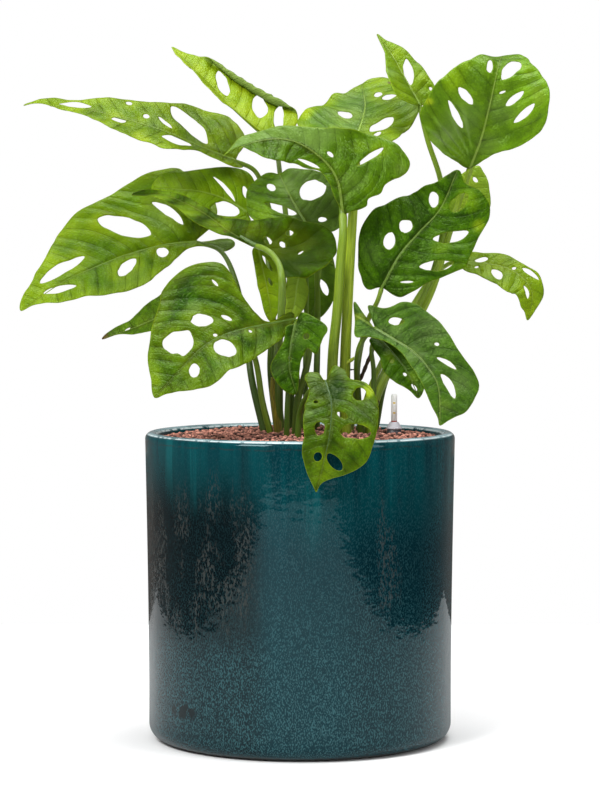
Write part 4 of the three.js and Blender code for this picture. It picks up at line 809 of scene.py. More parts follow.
def leaf_piece(leaf, materials):
    """A blade of two skins with a rim, grown as one with its stalk."""
    surface = Surface(leaf)
    length = surface.length
    outline = leaf_outline(leaf, length)
    holes = [leaf_hole(h, i) for i, h in enumerate(leaf["holes"])]
    flat, faces = fill_flat(outline, holes, length)
    x, y = flat.T
    edge = np.min([distance(flat, ring) for ring in [outline, *holes]], axis=0)
    relief = leaf_relief(x, y, edge, length, leaf)[:, None]
    half = BLADE_THICKNESS / 2 * (0.55 + 0.45 * smoothstep(0, 2.0, edge))[:, None]
    middle, up = surface.at(x, y), surface.normal(x, y)
    skins = [middle + up * (relief + half), middle + up * (relief - half)]
    n = len(flat)
    path, radii = stalk_path(leaf, surface, outline)
    stalk, stalk_faces, stalk_coords = tube(path, radii, STALK_SIDES, leaf.get("flute", 0.03))
    rim = [(a, a + n, b + n, b) for a, b in boundary(faces)]
    all_faces = [*faces, *(faces + n)[:, ::-1], *rim, *(np.array(f) + 2 * n for f in stalk_faces)]
    slots = np.repeat([0, 1, 0, 2], [len(faces), len(faces), len(rim), len(stalk_faces)])
    phase, width = veins(x, y, length, leaf["rib"][0][0])
    rib = rib_width(y, length) * (smoothstep(-2, 10, y) * 0.6 + 0.01 if leaf.get("underside") else 1)
    brown = np.zeros(n)
    for at_x, at_y, size in leaf.get("brown", ()):
        brown = np.maximum(brown, smoothstep(1.2, 0.6, np.hypot(x - at_x, y - at_y) / size))

    def values(columns, on_stalk):
        """The same three values on both skins, then the stalk's."""
        blade = np.stack(np.broadcast_arrays(*columns), -1)
        return np.vstack([blade, blade, np.broadcast_to(on_stalk, (len(stalk), 3))])

    return mesh_object(
        leaf["name"] + "_fine", np.vstack([*skins, stalk]), all_faces, materials, slots,
        leaf=values((x, y, phase), stalk_coords),
        form=values((width, edge, rib), 0),
        tone=values(leaf_tone(leaf, x, y, edge, length), stalk_tone(leaf, stalk)),
        line=values((leaf.get("rib_pale", PLAIN_RIB), leaf.get("matte", 0.0), brown), 0),
    )


def stalk_tone(leaf, points):
    """The stalk's own tone, the blade's under the midrib, both darker towards the granules as painted shade.
    """
    tone = np.tile(leaf["stem"], (len(points), 1))
    under = np.arange(len(points)) // STALK_SIDES < MIDRIB_RINGS
    tone = np.where(under[:, None], np.array(leaf["tone"]) * (1, 0.6, 1) + (0.12, 0, 0), tone)
    tone[:, 0] *= 1 - leaf.get("shady", SHADY) * smoothstep(400, 320, points[:, 2])
    return tone


def leaf_tone(leaf, x, y, edge, length):
    """Lightness, yellowness and greyness over a leaf, from its own tone and the changes listed for it."""
    light, yellow, grey = (np.full(len(x), v) for v in leaf["tone"])
    near_edge, fan = 1 - smoothstep(0, 16, edge), pleats(leaf, x, y)
    # The pleats are made lighter and greyer along their ridges: painted sheen.
    light = light + 0.10 * near_edge + 0.80 * fan
    grey = grey + 0.65 * fan
    for kind, amount in leaf.get("shade", {}).items():
        if kind == "left":
            light = light + amount * smoothstep(0, 8, -x)
        elif kind == "right_rim":
            light = light + amount * smoothstep(9, 3, edge) * smoothstep(10, 24, x)
        elif kind == "edge_yellow":
            yellow = yellow + amount * near_edge
        # Painted sheen: the right half made greyer.
        elif kind == "right_sheen":
            grey = grey + amount * smoothstep(0, 8, x)
        # Painted sheen: a pale grey, lighter band on the right side beyond the given distance along.
        elif kind == "far_right_sheen":
            band = smoothstep(1, 3, x) * smoothstep(amount, amount + 12, y)
            light, grey = light + 0.35 * band, grey + 0.55 * band
        elif kind == "roll_grey":
            limit = roll_line(leaf, y, length)
            over = (x * leaf["roll"][0] > 0) * smoothstep(limit, limit + 3, np.abs(x))
            grey = grey + amount * over
    # Spots: lighter paints light and shade, greyer paints sheen, besides the leaf's own tone.
    for at_x, at_y, wide, high, lighter, yellower, greyer in leaf.get("spots", ()):
        far = np.hypot((x - at_x) / wide, (y - at_y) / high) + 0.25 * ripple(x, y, 14, at_x + at_y)
        near = smoothstep(1.25, 0.35, far)
        light, yellow, grey = light + lighter * near, yellow + yellower * near, grey + greyer * near
    return np.clip([light, yellow, grey], 0, 1)


# Materials


def sum_by(operation, swapped=False):
    """A way to write a math node as a sum."""
    def method(self, other):
        return self.shade.math(operation, *((other, self) if swapped else (self, other)))
    return method


class Value:
    """A node's output, for use in sums like a number."""

    def __init__(self, shade, socket):
        self.shade, self.socket = shade, socket

    __add__ = sum_by("ADD")
    __mul__ = sum_by("MULTIPLY")
    __sub__ = sum_by("SUBTRACT")
    __rsub__ = sum_by("SUBTRACT", swapped=True)
    __truediv__ = sum_by("DIVIDE")

    def __abs__(self):
        return self.shade.math("ABSOLUTE", self)

    def clamped(self):
        self.socket.node.use_clamp = True
        return self

    def step(self, low, high, a=0.0, b=1.0, kind="SMOOTHSTEP"):
        """Goes from a to b as the value goes from low to high."""
        return self.shade.node("MapRange", (self, low, high, a, b), interpolation_type=kind)


class Shade:
    """A node tree of a material or the world, with short calls for its nodes."""

    def __init__(self, block, output="OutputMaterial"):
        self.block = bpy.data.materials.new(block) if isinstance(block, str) else block
        self.block.use_nodes = True
        self.tree = self.block.node_tree
        self.tree.nodes.clear()
        self.out = self.tree.nodes.new("ShaderNode" + output)

    def node(self, kind, inputs=(), output=0, **settings):
        """A new node with its inputs, by name or in order, as one output or, for a tuple, several."""
        made = self.tree.nodes.new("ShaderNode" + kind)
        for key, value in settings.items():
            setattr(made, key, value)
        for key, value in inputs.items() if isinstance(inputs, dict) else enumerate(inputs):
            socket = made.inputs[key]
            if isinstance(value, Value):
                self.tree.links.new(value.socket, socket)
            else:
                socket.default_value = (*value, 1) if socket.type == "RGBA" else value
        if isinstance(output, tuple):
            return [Value(self, made.outputs[key]) for key in output]
        return Value(self, made.outputs[output])

    def math(self, operation, *values):
        return self.node("Math", values, operation=operation)

    def mix(self, factor, a, b):
        return self.node("Mix", {0: factor, 6: a, 7: b}, 2, data_type="RGBA", clamp_factor=True)

    def blend(self, factor, a, b):
        return self.node("MixShader", (factor, a, b))

    def parts(self, vector):
        return self.node("SeparateXYZ", (vector,), (0, 1, 2))

    def vector(self, *values):
        return self.node("CombineXYZ", values)

    def place(self):
        """The piece's own coordinates, which are the frame's."""
        return self.node("TexCoord", output="Object")

    def attribute(self, name):
        return self.parts(self.node("Attribute", output="Vector", attribute_name=name))

    def noise(self, vector, scale, detail=2.0, rough=0.5, output="Fac"):
        inputs = {"Vector": vector, "Scale": scale, "Detail": detail, "Roughness": rough}
        return self.node("TexNoise", inputs, output)

    def cells(self, vector, scale, feature, output):
        return self.node("TexVoronoi", {"Vector": vector, "Scale": scale}, output, feature=feature)

    def bump(self, height, distance, strength=1.0):
        return self.node("Bump", {"Height": height, "Distance": distance, "Strength": strength})

    def principled(self, **inputs):
        return self.node("BsdfPrincipled", {key.replace("_", " "): v for key, v in inputs.items()})

    def surface(self, shader):
        self.tree.links.new(shader.socket, self.out.inputs["Surface"])
        return self.block

    def solid(self, colour, rough, height, distance, strength=1.0, **more):
        """The finished material of a plain surface with a fine relief."""
        relief = self.bump(height, distance, strength)
        return self.surface(self.principled(Base_Color=colour, Roughness=rough, Normal=relief, **more))


DARK = (0.005, 0.026, 0.0006)
DEEP = (0.016, 0.074, 0.0005)
FRESH = (0.137, 0.315, 0.003)
LIME = (0.400, 0.500, 0.012)
# A grey green for the back of the leaf and for the stalks; mixed in by greyness it also paints sheen on the
# blade.
GREY_GREEN_AND_SHEEN = (0.150, 0.230, 0.065)
RIB = (0.320, 0.440, 0.080)
DRY = (0.10, 0.045, 0.020)


def leaf_colour(shade, under):
    """Colour and height of the blade from its own flat coordinates and the values stored at its points.

    leaf: across, along and vein phase. form: vein spacing, distance from the edge, half width of the midrib.
    tone: lightness, yellowness, greyness. line: pale midrib, dull blade, dry places.
    """
    x, y, phase = shade.attribute("leaf")
    width, edge, rib = shade.attribute("form")
    # Lightness and greyness carry painted light, shade and sheen as well as the leaf's own tone.
    light, yellow, grey = shade.attribute("tone")
    rib_pale, matte, brown = shade.attribute("line")
    flat = shade.vector(x, y, 0.0)
    patches = shade.noise(flat, 0.040, 1.5)
    fine = shade.noise(flat, 0.75, 4.0, 0.7)
    mottle = shade.noise(flat, 0.26, 2.0, 0.6)
    gap = shade.math("PINGPONG", phase, 0.5) * width
    between = shade.math("PINGPONG", phase + 0.5, 0.5) * width
    fading = shade.noise(flat, 0.045).step(0.36, 0.60)
    vein = gap.step(0.12, 0.75, 1, 0) * (fading * 0.7 + 0.3)
    vein_shade = gap.step(0.3, 3.2, 1, 0)
    minor = between.step(0.1, 0.7, 1, 0)
    from_rib = abs(x) / rib
    middle = from_rib.step(0.7, 1.25, 1, 0)
    rib_side_shade = from_rib.step(1.3, 6.0, 1, 0)
    shift = shade.noise(flat, 0.12, output="Color")
    warped = shade.node("VectorMath", (flat, shift), operation="ADD")
    cells = shade.cells(warped, 0.30, "DISTANCE_TO_EDGE", "Distance")
    patch = shade.parts(shade.cells(warped, 0.30, "F1", "Color"))[0]
    net = cells.step(0.0, 0.09, 1, 0)
    # Painted shade: darker beside the veins, a little lighter between them, and darker beside the midrib.
    lift = light + (patches - 0.5) * 0.50 + (mottle - 0.5) * 0.25 - (vein_shade - 0.3) * 0.07
    lift = (lift + (patch - 0.5) * 0.13 + (fine - 0.5) * 0.65 - rib_side_shade * 0.15).clamped()
    green = shade.mix(lift.step(0.0, 0.35), DARK, DEEP)
    green = shade.mix(lift.step(0.05, 1.0), green, FRESH)
    green = shade.mix((yellow * patches.step(0.35, 0.62, 0.65, 1.10)).clamped(), green, LIME)
    green = shade.mix(grey, green, GREY_GREEN_AND_SHEEN)
    # Veins, small veins and the net are drawn in a shaded copy of the green: painted shade along them.
    shaded = shade.mix(0.6, green, DARK)
    for line, strength in ((vein, 0.2 if under else 0.36), (minor, 0.10), (net, 0.20)):
        green = shade.mix(line * strength, green, shaded)
    green = shade.mix(middle * rib_pale, green, shade.mix(0.35, RIB, green))
    green = shade.mix(edge.step(0.2, 0.9, 0.20, 0), green, LIME)
    green = shade.mix(brown * fine.step(0.3, 0.6, 0.5, 1.0), green, DRY)
    if under:
        green = shade.mix(0.5, green, GREY_GREEN_AND_SHEEN)
    height = mottle * 1.1 + cells.step(0.0, 0.35) * 0.24 + gap.step(0.0, 4.0) * 0.35
    height = height - vein * 0.8 - minor * 0.3 - net * 0.12
    return green, height, matte


def leaf_material(name, under=False):
    shade = Shade(name)
    colour, height, matte = leaf_colour(shade, under)
    gloss = shade.principled(
        Base_Color=colour, Roughness=0.55 if under else 0.35, Normal=shade.bump(height, 0.0005),
        Specular_IOR_Level=matte.step(0.0, 1.0, 0.30, 0.06), Specular_Tint=(0.64, 1.0, 0.26),
    )
    glow = shade.node("BsdfTranslucent", {"Color": shade.mix(0.35, colour, LIME)})
    return shade.surface(shade.blend(GLOW, gloss, glow))


def stalk_material():
    shade = Shade("stalk")
    angle, along, _ = shade.attribute("leaf")
    light, yellow, grey = shade.attribute("tone")
    around = shade.vector(shade.math("SINE", angle) * 2.2, shade.math("COSINE", angle) * 2.2, along * 0.02)
    streak = shade.noise(around, 2.2, 3.0, 0.65)
    patches = shade.noise(around, 0.6)
    green = shade.mix(light, (0.013, 0.050, 0.002), (0.30, 0.48, 0.025))
    green = shade.mix((yellow * patches).clamped(), green, (0.50, 0.56, 0.02))
    green = shade.mix(grey, green, GREY_GREEN_AND_SHEEN)
    green = shade.mix(streak.step(0.35, 0.6, 0.65, 0), green, shade.mix(0.62, green, (0.026, 0.100, 0.003)))
    return shade.solid(green, 0.38, streak, 0.0006, 0.7, Specular_IOR_Level=0.4)


def sheath_material():
    shade = Shade("old_sheath")
    angle, along, share = shade.attribute("leaf")
    across = shade.math("COSINE", angle)
    streak = shade.noise(shade.vector(across * 3.0, 0.0, along * 0.03), 2.5, 3.0, 0.6)
    colour = shade.mix(streak.step(0.35, 0.65), (0.100, 0.095, 0.003), (0.330, 0.270, 0.010))
    colour = shade.mix(abs(across).step(0.75, 1.0, 0, 0.6), colour, (0.42, 0.40, 0.10))
    colour = shade.mix(share.step(0.55, 1.0, 0, 0.6), colour, (0.055, 0.045, 0.008))
    return shade.solid(colour, 0.5, streak, 0.0005)


def root_material():
    shade = Shade("root_bark")
    angle, along, _ = shade.attribute("leaf")
    around = shade.vector(shade.math("SINE", angle), shade.math("COSINE", angle), along * 0.25)
    rough = shade.noise(around, 3.0, 4.0, 0.7)
    colour = shade.mix(rough, (0.02, 0.012, 0.008), (0.11, 0.065, 0.035))
    return shade.solid(colour, 0.8, rough, 0.0008)


def glaze_material():
    """Clear teal glaze, streaked down from the rim, with fine worm-like specks that thicken to the foot."""
    shade = Shade("pot_glaze")
    place = shade.place()
    x, y, z = shade.parts(place)

    def noise(scale, down, detail, rough=0.5):
        """Noise that is drawn out down the pot where down is small."""
        vector = shade.node("Mapping", {"Vector": place, "Scale": (1, 1, down)})
        return shade.noise(vector, scale, detail, rough)

    def coat(amount, colour):
        """Another colour over the glaze so far."""
        nonlocal glaze
        glaze = shade.mix(amount, glaze, colour)

    streaks, broad = noise(75, 0.04, 3, 0.6), noise(22, 0.12, 2)
    ragged, blots = noise(110, 0.6, 4, 0.65), noise(34, 0.5, 4, 0.6)
    crumbs, specks = noise(560, 0.4, 3, 0.6), noise(1140, 0.45, 1)
    left = x.step(-0.048, -0.018, 1, 0)
    up = ((broad - 0.5) * 0.07 + z - left * 0.020).step(0.178, 0.256)
    # Darker to the right and near black on the left: dark reflections of the surroundings, painted into the
    # glaze.
    glaze = shade.mix(x.step(0.030, 0.060), (0.0006, 0.0260, 0.0350), (0.0004, 0.0150, 0.0210))
    coat(left, (0.0006, 0.0034, 0.0046))
    coat(up, (0.0008, 0.0500, 0.0580))
    coat(up * streaks.step(0.34, 0.52, 0.75, 0), (0.0006, 0.0220, 0.0300))
    coat(up * streaks.step(0.54, 0.68, 0, 0.7), (0.0040, 0.0980, 0.1060))
    coat(broad.step(0.46, 0.60, 0, 0.7) * (left * 0.7 + 0.3), (0.0040, 0.0080, 0.0095))
    strip = abs(x - 0.077).step(0.006, 0.014, 0.9, 0)
    side = shade.math("MAXIMUM", x.step(-0.050, -0.030, 1, 0), strip)
    drips = (streaks - 0.5) * 0.16 + z
    band = drips.step(0.100, 0.135) * drips.step(0.195, 0.240, 1, 0)
    # Rough matt crumbs on the left and in a strip to the right: worn glaze whose brown-grey colour is a
    # painted reflection of warm surroundings.
    worn = crumbs.step(0.50, 0.58) * blots.step(0.44, 0.56) * side * band
    coat(worn * 0.45, (0.062, 0.060, 0.053))
    dots = specks.step(0.53, 0.58)
    thick = ((blots - 0.5) * 0.10 + z).step(0.04, 0.19, 0.62, 0.22) * (1 - left * z.step(0.085, 0.115) * 0.6)
    coat(thick * 0.9, (0.0022, 0.0150, 0.0205))
    coat(dots * thick, (0.034, 0.108, 0.122))
    away = shade.node("VectorMath", (shade.vector((x + 0.102) * 0.6, z - 0.038, 0.0),),
                      "Value", operation="LENGTH")
    coat(away.step(0.005, 0.009, 1, 0) * ragged.step(0.46, 0.50), (0.0010, 0.0030, 0.0040))
    line = abs(z - (blots * 0.008 + 0.2665)).step(0.0003, 0.0009, 0.45, 0) * ragged.step(0.42, 0.55)
    coat(line, (0.026, 0.026, 0.023))
    # A whitish band along the top of the lip: painted highlight.
    coat(z.step(0.2752, 0.2772) * broad.step(0.36, 0.50, 0.35, 1.0) * 0.55, (0.42, 0.58, 0.61))
    radius = shade.node("VectorMath", (shade.vector(x, y, 0.0),), "Value", operation="LENGTH")
    # Thin white lines at the lip's inner and outer edges: painted highlights.
    for edge in RIM_HIGHLIGHTS:
        mark = abs(radius - edge * MM).step(0.0004, 0.0009, 0.8, 0) * z.step(0.272, 0.274)
        coat(mark * ragged.step(0.38, 0.48), (0.62, 0.72, 0.74))
    coat(z.step(0.001, 0.004, 0.7, 0), (0.045, 0.030, 0.022))
    height = noise(62, 1.5, 2, 0.45) * 0.17 + noise(190, 1.1, 1) * 0.050 + dots * 0.0015 + worn * 0.02
    facing = shade.node("LayerWeight", {"Blend": 0.5}, "Facing")
    gloss = shade.principled(
        Base_Color=glaze, Roughness=worn.step(0.0, 0.5, 0.035, 0.25),
        Normal=shade.bump(height, 0.001), IOR=1.45,
        Specular_IOR_Level=facing.step(0.40, 0.95, 0.24, 0.08), Specular_Tint=(0.70, 0.96, 1.0),
    )
    dull = shade.node("BsdfDiffuse", {"Color": glaze})
    edge = facing.step(0.70, 0.97, 0, 0.65) * z.step(0.255, 0.262, 1, 0)
    return shade.surface(shade.blend(edge, gloss, dull))


def granule_material():
    shade = Shade("clay_granules")
    tint, dark, _ = shade.attribute("tone")
    grit = shade.noise(shade.place(), 900.0, 3.0, 0.7)
    colour = shade.mix(tint, (0.290, 0.084, 0.055), (0.940, 0.400, 0.285))
    # dark: the dark granules, and painted shade on the lower part of each granule and on the whole bed.
    colour = shade.mix(dark, colour, (0.030, 0.012, 0.011))
    colour = shade.mix(grit.step(0.35, 0.7, 0, 0.35), colour, (0.55, 0.30, 0.22))
    return shade.solid(colour, 0.85, grit, 0.0006)


def plastic_material(name, colour, rough):
    shade = Shade(name)
    grain = shade.noise(shade.place(), 1400.0, 2.0, 0.6)
    paler = tuple(min(1, c * 1.5 + 0.02) for c in colour)
    worn = shade.mix(grain.step(0.4, 0.7, 0, 0.18), colour, paler)
    return shade.solid(worn, rough, grain, 0.0002)


def sight_material():
    """Clear plastic with two yellow ticks across the front, red at the foot where the float's rod shows."""
    shade = Shade("gauge_clear")
    place = shade.place()
    x, y, z = shade.parts(place)
    near = [shade.math("LESS_THAN", abs(z - level * MM), 0.0008) for level in TICK_LEVELS]
    front = shade.math("LESS_THAN", y, GAUGE_Y * MM)
    slim = shade.math("LESS_THAN", abs(x - GAUGE_X * MM), 0.0011)
    ticks = shade.math("MAXIMUM", *near) * (front * slim)
    foot = shade.math("LESS_THAN", z, (HOUSING_TOP + CAP_HEIGHT + 1.4) * MM)
    haze = shade.noise(place, 300.0)
    clear = shade.principled(
        Base_Color=(0.95, 0.96, 0.93), Roughness=haze.step(0.3, 0.7, 0.12, 0.25),
        Transmission_Weight=0.03, IOR=1.2,
    )
    ink = shade.principled(Base_Color=(0.78, 0.55, 0.12), Roughness=0.5)
    red = shade.principled(Base_Color=(0.55, 0.06, 0.03), Roughness=0.4)
    return shade.surface(shade.blend(ticks, shade.blend(foot, clear, red), ink))


# Turned pieces


def arc(cx, cz, radius, start, end, steps):
    a = np.radians(np.linspace(start, end, steps + 1))
    return [(cx + radius * math.cos(t), cz + radius * math.sin(t)) for t in a]


def outer_radius(z):
    t = min(max((z - FOOT_ROUND) / (POT_HEIGHT - LIP_RADIUS - FOOT_ROUND), 0), 1)
    foot, rim = FOOT_RADIUS - WAIST_RADIUS, RIM_RADIUS - WAIST_RADIUS
    return WAIST_RADIUS + foot * (1 - t) ** 4 + rim * t ** 1.5


def turned(name, profile, sides, material, centre=(0, 0), **vectors):
    """A profile of (radius, height) turned about a plumb axis. Points on the axis become one vertex."""
    closed = profile[0] == profile[-1]
    points, rings, faces = [], [], []
    for r, z in profile[:-1] if closed else profile:
        count = sides if r > 0 else 1
        rings.append([len(points) + k % count for k in range(sides)])
        for k in range(count):
            a = TURN * k / sides
            points.append((centre[0] + r * math.cos(a), centre[1] + r * math.sin(a), z))
    if closed:
        rings.append(rings[0])
    for low, high in zip(rings[:-1], rings[1:]):
        for k in range(sides):
            m = (k + 1) % sides
            corners = list(dict.fromkeys([low[k], low[m], high[m], high[k]]))
            if len(corners) > 2:
                faces.append(corners)
    return mesh_object(name, points, faces, [material], **vectors)


def pot_profile():
    crest = POT_HEIGHT - LIP_RADIUS
    low = FLOOR_THICKNESS + INNER_ROUND
    inner = [(outer_radius(z) - WALL, z) for z in np.linspace(low, crest - 4, 20)]
    return [
        (0, 0), (FOOT_RADIUS - FOOT_ROUND - 4, 0),
        *arc(outer_radius(FOOT_ROUND) - FOOT_ROUND, FOOT_ROUND, FOOT_ROUND, -90, 0, 12),
        *((outer_radius(z), z) for z in np.linspace(FOOT_ROUND + 6, crest - 6, 46)),
        *arc(outer_radius(crest) - LIP_RADIUS, crest, LIP_RADIUS, 0, 180, 16),
        *reversed(inner),
        *reversed(arc(inner[0][0] - INNER_ROUND, low, INNER_ROUND, -90, 0, 6)),
        (0, FLOOR_THICKNESS),
    ]


def bed_piece(material):
    """The bed under the granules, from the pot's floor up, all dark as painted shade between them."""
    low = FLOOR_THICKNESS + CLEAR
    top = FILL_TOP - BED_DEPTH
    levels = [(outer_radius(z) - WALL - CLEAR, z) for z in np.linspace(low + INNER_ROUND, top, 8)]
    corner = arc(levels[0][0] - INNER_ROUND, low + INNER_ROUND, INNER_ROUND, -90, 0, 5)[:-1]
    mound = [(levels[-1][0] * f, top + FILL_MOUND * (1 - f * f)) for f in np.linspace(0.96, 0, 16)]
    return turned("granule_bed", [(0, low), *corner, *levels, *mound], BED_SIDES, material, tone=(0, 1, 0))


def granule_spots(rng):
    """Places and sizes of the granules, in uneven rows, clear of the stalks and the gauge."""
    edge = outer_radius(FILL_TOP) - WALL - CLEAR - 0.4
    rows = int(edge / (GRANULE_PITCH * ROW)) + 1
    spots = np.array([
        ((i + 0.5 * (j % 2)) * GRANULE_PITCH, j * GRANULE_PITCH * ROW)
        for j in range(-rows, rows + 1) for i in range(-rows * 2, rows * 2 + 1)
    ])
    spots = spots + rng.uniform(-GRANULE_SHIFT, GRANULE_SHIFT, spots.shape)
    sizes = rng.uniform(*GRANULE_RADIUS, len(spots))
    keep = np.hypot(*spots.T) < edge - sizes
    stems = [(stem["root"], stem["radius"][1]) for stem in (*LEAVES, AERIAL_ROOT)]
    for middle, radius in [*stems, ((GAUGE_X, GAUGE_Y), HOUSING_RADIUS)]:
        keep &= np.hypot(*(spots - np.array(middle)).T) > radius + GRANULE_GAP
    return spots[keep], sizes[keep], np.hypot(*spots[keep].T) / edge


def fill_piece(material):
    """Round granules on the bed, some of them standing proud."""
    rng = np.random.default_rng(GRANULE_SEED)
    spots, sizes, r = granule_spots(rng)
    count = len(spots)
    proud = GRANULE_PROUD * rng.uniform(0, 1, count) ** 2.5 * smoothstep(1.0, 0.85, r)
    mound = FILL_TOP - GRANULE_SINK + FILL_MOUND * (1 - r ** 2)
    heights = mound + rng.uniform(-1.5, 1.0, count) + proud
    ball, ball_faces = round_cube()
    n = len(ball)
    stretch = rng.uniform(0.85, 1.12, (count, 1, 3))
    turn = rng.uniform(0, TURN, count)
    c, s = np.cos(turn)[:, None], np.sin(turn)[:, None]
    x, y, z = np.moveaxis(ball * stretch * sizes[:, None, None], -1, 0)
    x, z = x * c - z * s, x * s + z * c
    balls = np.stack([x, y, z], -1) + np.column_stack([spots, heights])[:, None]
    faces = (ball_faces[None] + (np.arange(count) * n)[:, None, None]).reshape(-1, 4)
    tint = rng.uniform(0, 1, count)
    dark = np.where(rng.uniform(0, 1, count) < DARK_SHARE, rng.uniform(0.4, 1, count), 0)
    tone = np.repeat(np.stack([tint, dark, np.zeros(count)], -1), n, 0)
    # Painted shade: the lower part of each granule is darkened.
    tone[:, 1] = np.maximum(tone[:, 1], smoothstep(0.88, 0.20, z / sizes[:, None]).ravel())
    return mesh_object("granule_top", balls.reshape(-1, 3), faces, [material], tone=tone)


def round_cube():
    """A cube with 2 by 2 faces a side, pushed out to a ball."""
    index, points, faces = {}, [], []
    for axis, side, a, b in itertools.product(range(3), (-1, 1), (-1, 0), (-1, 0)):
        quad = []
        for da, db in ((0, 0), (1, 0), (1, 1), (0, 1)):
            p = tuple(np.roll((side, a + da, b + db), axis))
            if p not in index:
                index[p] = len(points)
                points.append(unit(np.tan(np.array(p) * math.pi / 4)))
            quad.append(index[p])
        faces.append(quad[::side])
    return np.array(points), np.array(faces)


# Studio


def stand(name, data, place, rotation):
    made = bpy.data.objects.new(name, data)
    made.location, made.rotation_euler = place, rotation
    bpy.context.scene.collection.objects.link(made)
    return made


def camera():
    data = bpy.data.cameras.new("camera")
    data.lens, data.sensor_width = CAMERA_LENS, CAMERA_SENSOR
    data.clip_start, data.clip_end = 0.05, 100
    place = (0, -CAMERA_DISTANCE, CAMERA_HEIGHT)
    bpy.context.scene.camera = stand("camera", data, place, (math.pi / 2 - CAMERA_PITCH, 0, 0))


def studio():
    """A limited white floor and soft lights, in a world that is white to the camera but dark in mirrors."""
    sides = ((-FLOOR_SIDE, FLOOR_FRONT), (FLOOR_SIDE, FLOOR_FRONT), (FLOOR_SIDE, FLOOR_BACK),
             (-FLOOR_SIDE, FLOOR_BACK))
    corners = [(x / MM, y / MM, 0) for x, y in sides]
    floor = mesh_object("floor", corners, [(0, 1, 2, 3)], [floor_material()])
    floor.location.z = -FLOOR_DROP
    for name, (place, target, size, power) in LIGHTS.items():
        data = bpy.data.lights.new(name, "AREA")
        data.shape, data.energy = "RECTANGLE", power
        data.size, data.size_y = size
        stand(name, data, place, (Vector(target) - Vector(place)).to_track_quat("-Z", "Y").to_euler())
    shade = Shade(bpy.data.worlds.new("studio"), "OutputWorld")

    def sky(strength, colour=(1, 1, 1)):
        return shade.node("Background", (colour, strength))

    seen, mirrored = shade.node("LightPath", output=("Is Camera Ray", "Is Glossy Ray"))
    x, y, z = shade.parts(shade.node("TexCoord", output="Generated"))
    warm = sky(SKY_WARM, WARM_DARK)
    dark = shade.blend(y.step(0.15, 0.85, kind="LINEAR"), sky(0.0), warm)
    dark = shade.blend(x.step(-0.15, -0.65, kind="LINEAR"), dark, warm)
    dark = shade.blend(z.step(-0.02, 0.10, kind="LINEAR"), dark, sky(SKY_HIGH))
    shown = shade.blend(seen, shade.blend(mirrored, sky(SKY_LIGHT), dark), sky(SKY_SEEN))
    bpy.context.scene.world = shade.surface(shown)
    bpy.context.scene.view_settings.view_transform = "Standard"


def floor_material():
    shade = Shade("floor")
    colour = shade.mix(shade.noise(shade.place(), 2.0), (0.93, 0.93, 0.93), (0.95, 0.95, 0.95))
    return shade.surface(shade.node("BsdfDiffuse", {"Color": colour}))


# The part


def place(piece, slot, node=None):
    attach(piece, "root")
    if node:
        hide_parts(node)


def gauge():
    """Housing, cap, sight tube and float, turned about the gauge's own axis."""
    bottom = FLOOR_THICKNESS + 2 * CLEAR + 1
    inner = HOUSING_RADIUS - HOUSING_WALL
    low = HOUSING_TOP + CLEAR
    cap_top = low + CAP_HEIGHT
    hole, seat, shelf = ROD_RADIUS + ROD_PLAY, SIGHT_RADIUS + CLEAR, low + CAP_FLOOR
    foot = shelf + CLEAR
    high = foot + SIGHT_LENGTH
    rod_low = bottom + FLOAT_LENGTH
    pieces = (
        ("housing", "gauge_grey", 40, plastic_material("gauge_grey", (0.045, 0.043, 0.052), 0.4), [
            (inner, bottom), (HOUSING_RADIUS, bottom), (HOUSING_RADIUS, HOUSING_TOP - 0.6),
            (HOUSING_RADIUS - 0.5, HOUSING_TOP), (inner, HOUSING_TOP), (inner, bottom),
        ]),
        ("cap", "gauge_light", 40, plastic_material("gauge_light", (0.46, 0.45, 0.49), 0.3), [
            (hole, low), (CAP_RADIUS - 0.3, low), (CAP_RADIUS, low + 0.3), (CAP_RADIUS, low + 1.0),
            (CAP_RADIUS - 0.4, low + 1.5), (seat + 1.1, cap_top - 0.4), (seat + 0.7, cap_top),
            (seat, cap_top), (seat, shelf), (hole, shelf), (hole, low),
        ]),
        ("sight_tube", "gauge_clear", 32, sight_material(), [
            (SIGHT_BORE, foot), (SIGHT_RADIUS, foot), (SIGHT_RADIUS, high - 1.2),
            (SIGHT_RADIUS - 0.3, high - 0.4), (SIGHT_RADIUS - 1, high), (0, high), (0, high - 1.2),
            (SIGHT_BORE - 0.5, high - 1.3), (SIGHT_BORE, high - 1.9), (SIGHT_BORE, foot),
        ]),
        ("float", "gauge_red", 24, plastic_material("gauge_red", (0.55, 0.04, 0.015), 0.45), [
            (0, bottom), (FLOAT_RADIUS - 1, bottom), (FLOAT_RADIUS, bottom + 1), (FLOAT_RADIUS, rod_low - 1),
            (FLOAT_RADIUS - 1, rod_low), (ROD_RADIUS, rod_low), (ROD_RADIUS, ROD_TOP - 0.6),
            (ROD_RADIUS - 0.5, ROD_TOP), (0, ROD_TOP),
        ]),
    )
    for name, slot, sides, material, profile in pieces:
        fine = f"gauge_{name}_fine".replace("_tube", "")
        place(turned(fine, profile, sides, material, (GAUGE_X, GAUGE_Y)), slot, f"gauge_{name}")


def stem_piece(name, path, radii, sides, material):
    points, faces, coords = tube(path, radii, sides)
    return mesh_object(name, points, faces, [material], leaf=coords)


def aerial_root(bark):
    root = AERIAL_ROOT["root"]
    path = np.vstack([curve_through([*AERIAL_ROOT["path"], (*root, FILL_TOP + 6)], 14), foot_of(root, 5)])
    thin, thick = AERIAL_ROOT["radius"]
    s = np.linspace(0, 1, len(path))
    radii = (thin + (thick - thin) * s) * (1 + 0.10 * np.sin(s * 61) + 0.06 * np.sin(s * 143))
    radii[0] = 0.7
    return stem_piece("aerial_root_fine", path, radii, 10, bark)


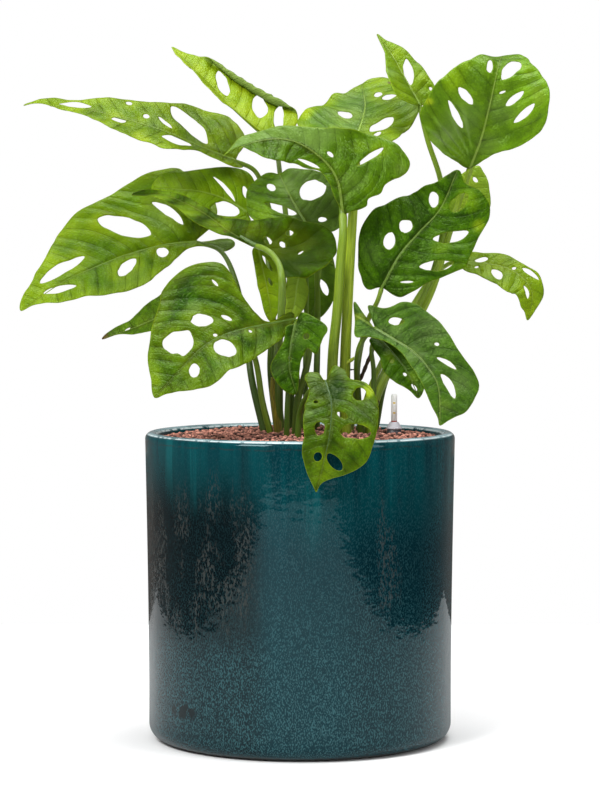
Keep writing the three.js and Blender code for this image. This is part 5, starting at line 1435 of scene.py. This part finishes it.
def rootlet(number, points, bark):
    path = curve_through(points, 6)
    s = np.linspace(0, 1, len(path))
    radii = ROOTLET_RADIUS * (1 - 0.7 * s) * (1 + 0.15 * np.sin(np.arange(len(path)) * 2.1))
    return stem_piece(f"rootlet_{number}", path, radii, 8, bark)


def ribbon(name, points, width, thickness, facing, material, tone):
    """A flat strip along a path, its broad side turned to facing, with pinched ends."""
    path = curve_through(points, 10)
    n = len(path)
    along = unit(np.gradient(path, axis=0))
    front = unit(np.array(facing) - (along @ np.array(facing))[:, None] * along)
    across = np.cross(along, front)
    s = np.linspace(0, 1, n)
    half = width / 2 * np.clip(np.sin(np.pi * np.clip(s * 1.6 + 0.08, 0, 0.5)), 0.1, 1)
    angles = np.arange(RIBBON_SIDES) * TURN / RIBBON_SIDES
    deep = np.sin(angles) * thickness / 2 - np.cos(angles) ** 2 * 0.8
    rings = (
        path[:, None] + (np.cos(angles) * half[:, None])[..., None] * across[:, None]
        + deep[:, None] * front[:, None]
    )
    faces = ring_faces(n, RIBBON_SIDES)
    faces += [range(RIBBON_SIDES - 1, -1, -1), range((n - 1) * RIBBON_SIDES, n * RIBBON_SIDES)]
    coords = np.stack(np.broadcast_arrays(angles, s[:, None] * 60, s[:, None]), -1)
    return mesh_object(name, rings.reshape(-1, 3), faces, [material], leaf=coords.reshape(-1, 3), tone=tone)


def small_growth(stalk, bark):
    """The old yellow sheath at the foot, its papery collar, and three short dry rootlets."""
    sheath = sheath_material()
    place(ribbon("old_sheath", SHEATH, 7.4, 1.6, (0, -1, 0.1), sheath, (0.30, 1, 0)), "leaf_olive")
    place(ribbon("sheath_collar", COLLAR, 3.6, 1.0, (0, -1, 0.4), stalk, (1, 1, 0)), "leaf_bright")
    for number, points in enumerate(ROOTLETS, 1):
        place(rootlet(number, points, bark), "root_bark")


def build():
    camera()
    studio()
    place(turned("pot_fine", pot_profile(), POT_SIDES, glaze_material()), "pot_glaze", "pot")
    clay = granule_material()
    for piece in (bed_piece(clay), fill_piece(clay)):
        place(piece, "clay_granules", "granules")
    gauge()
    looks = [leaf_material("leaf_upper"), leaf_material("leaf_under", True), stalk_material()]
    for leaf in LEAVES:
        place(leaf_piece(leaf, looks), leaf["slot"], leaf["name"])
    bark = root_material()
    place(aerial_root(bark), "root_bark", "aerial_root")
    small_growth(looks[2], bark)


build()
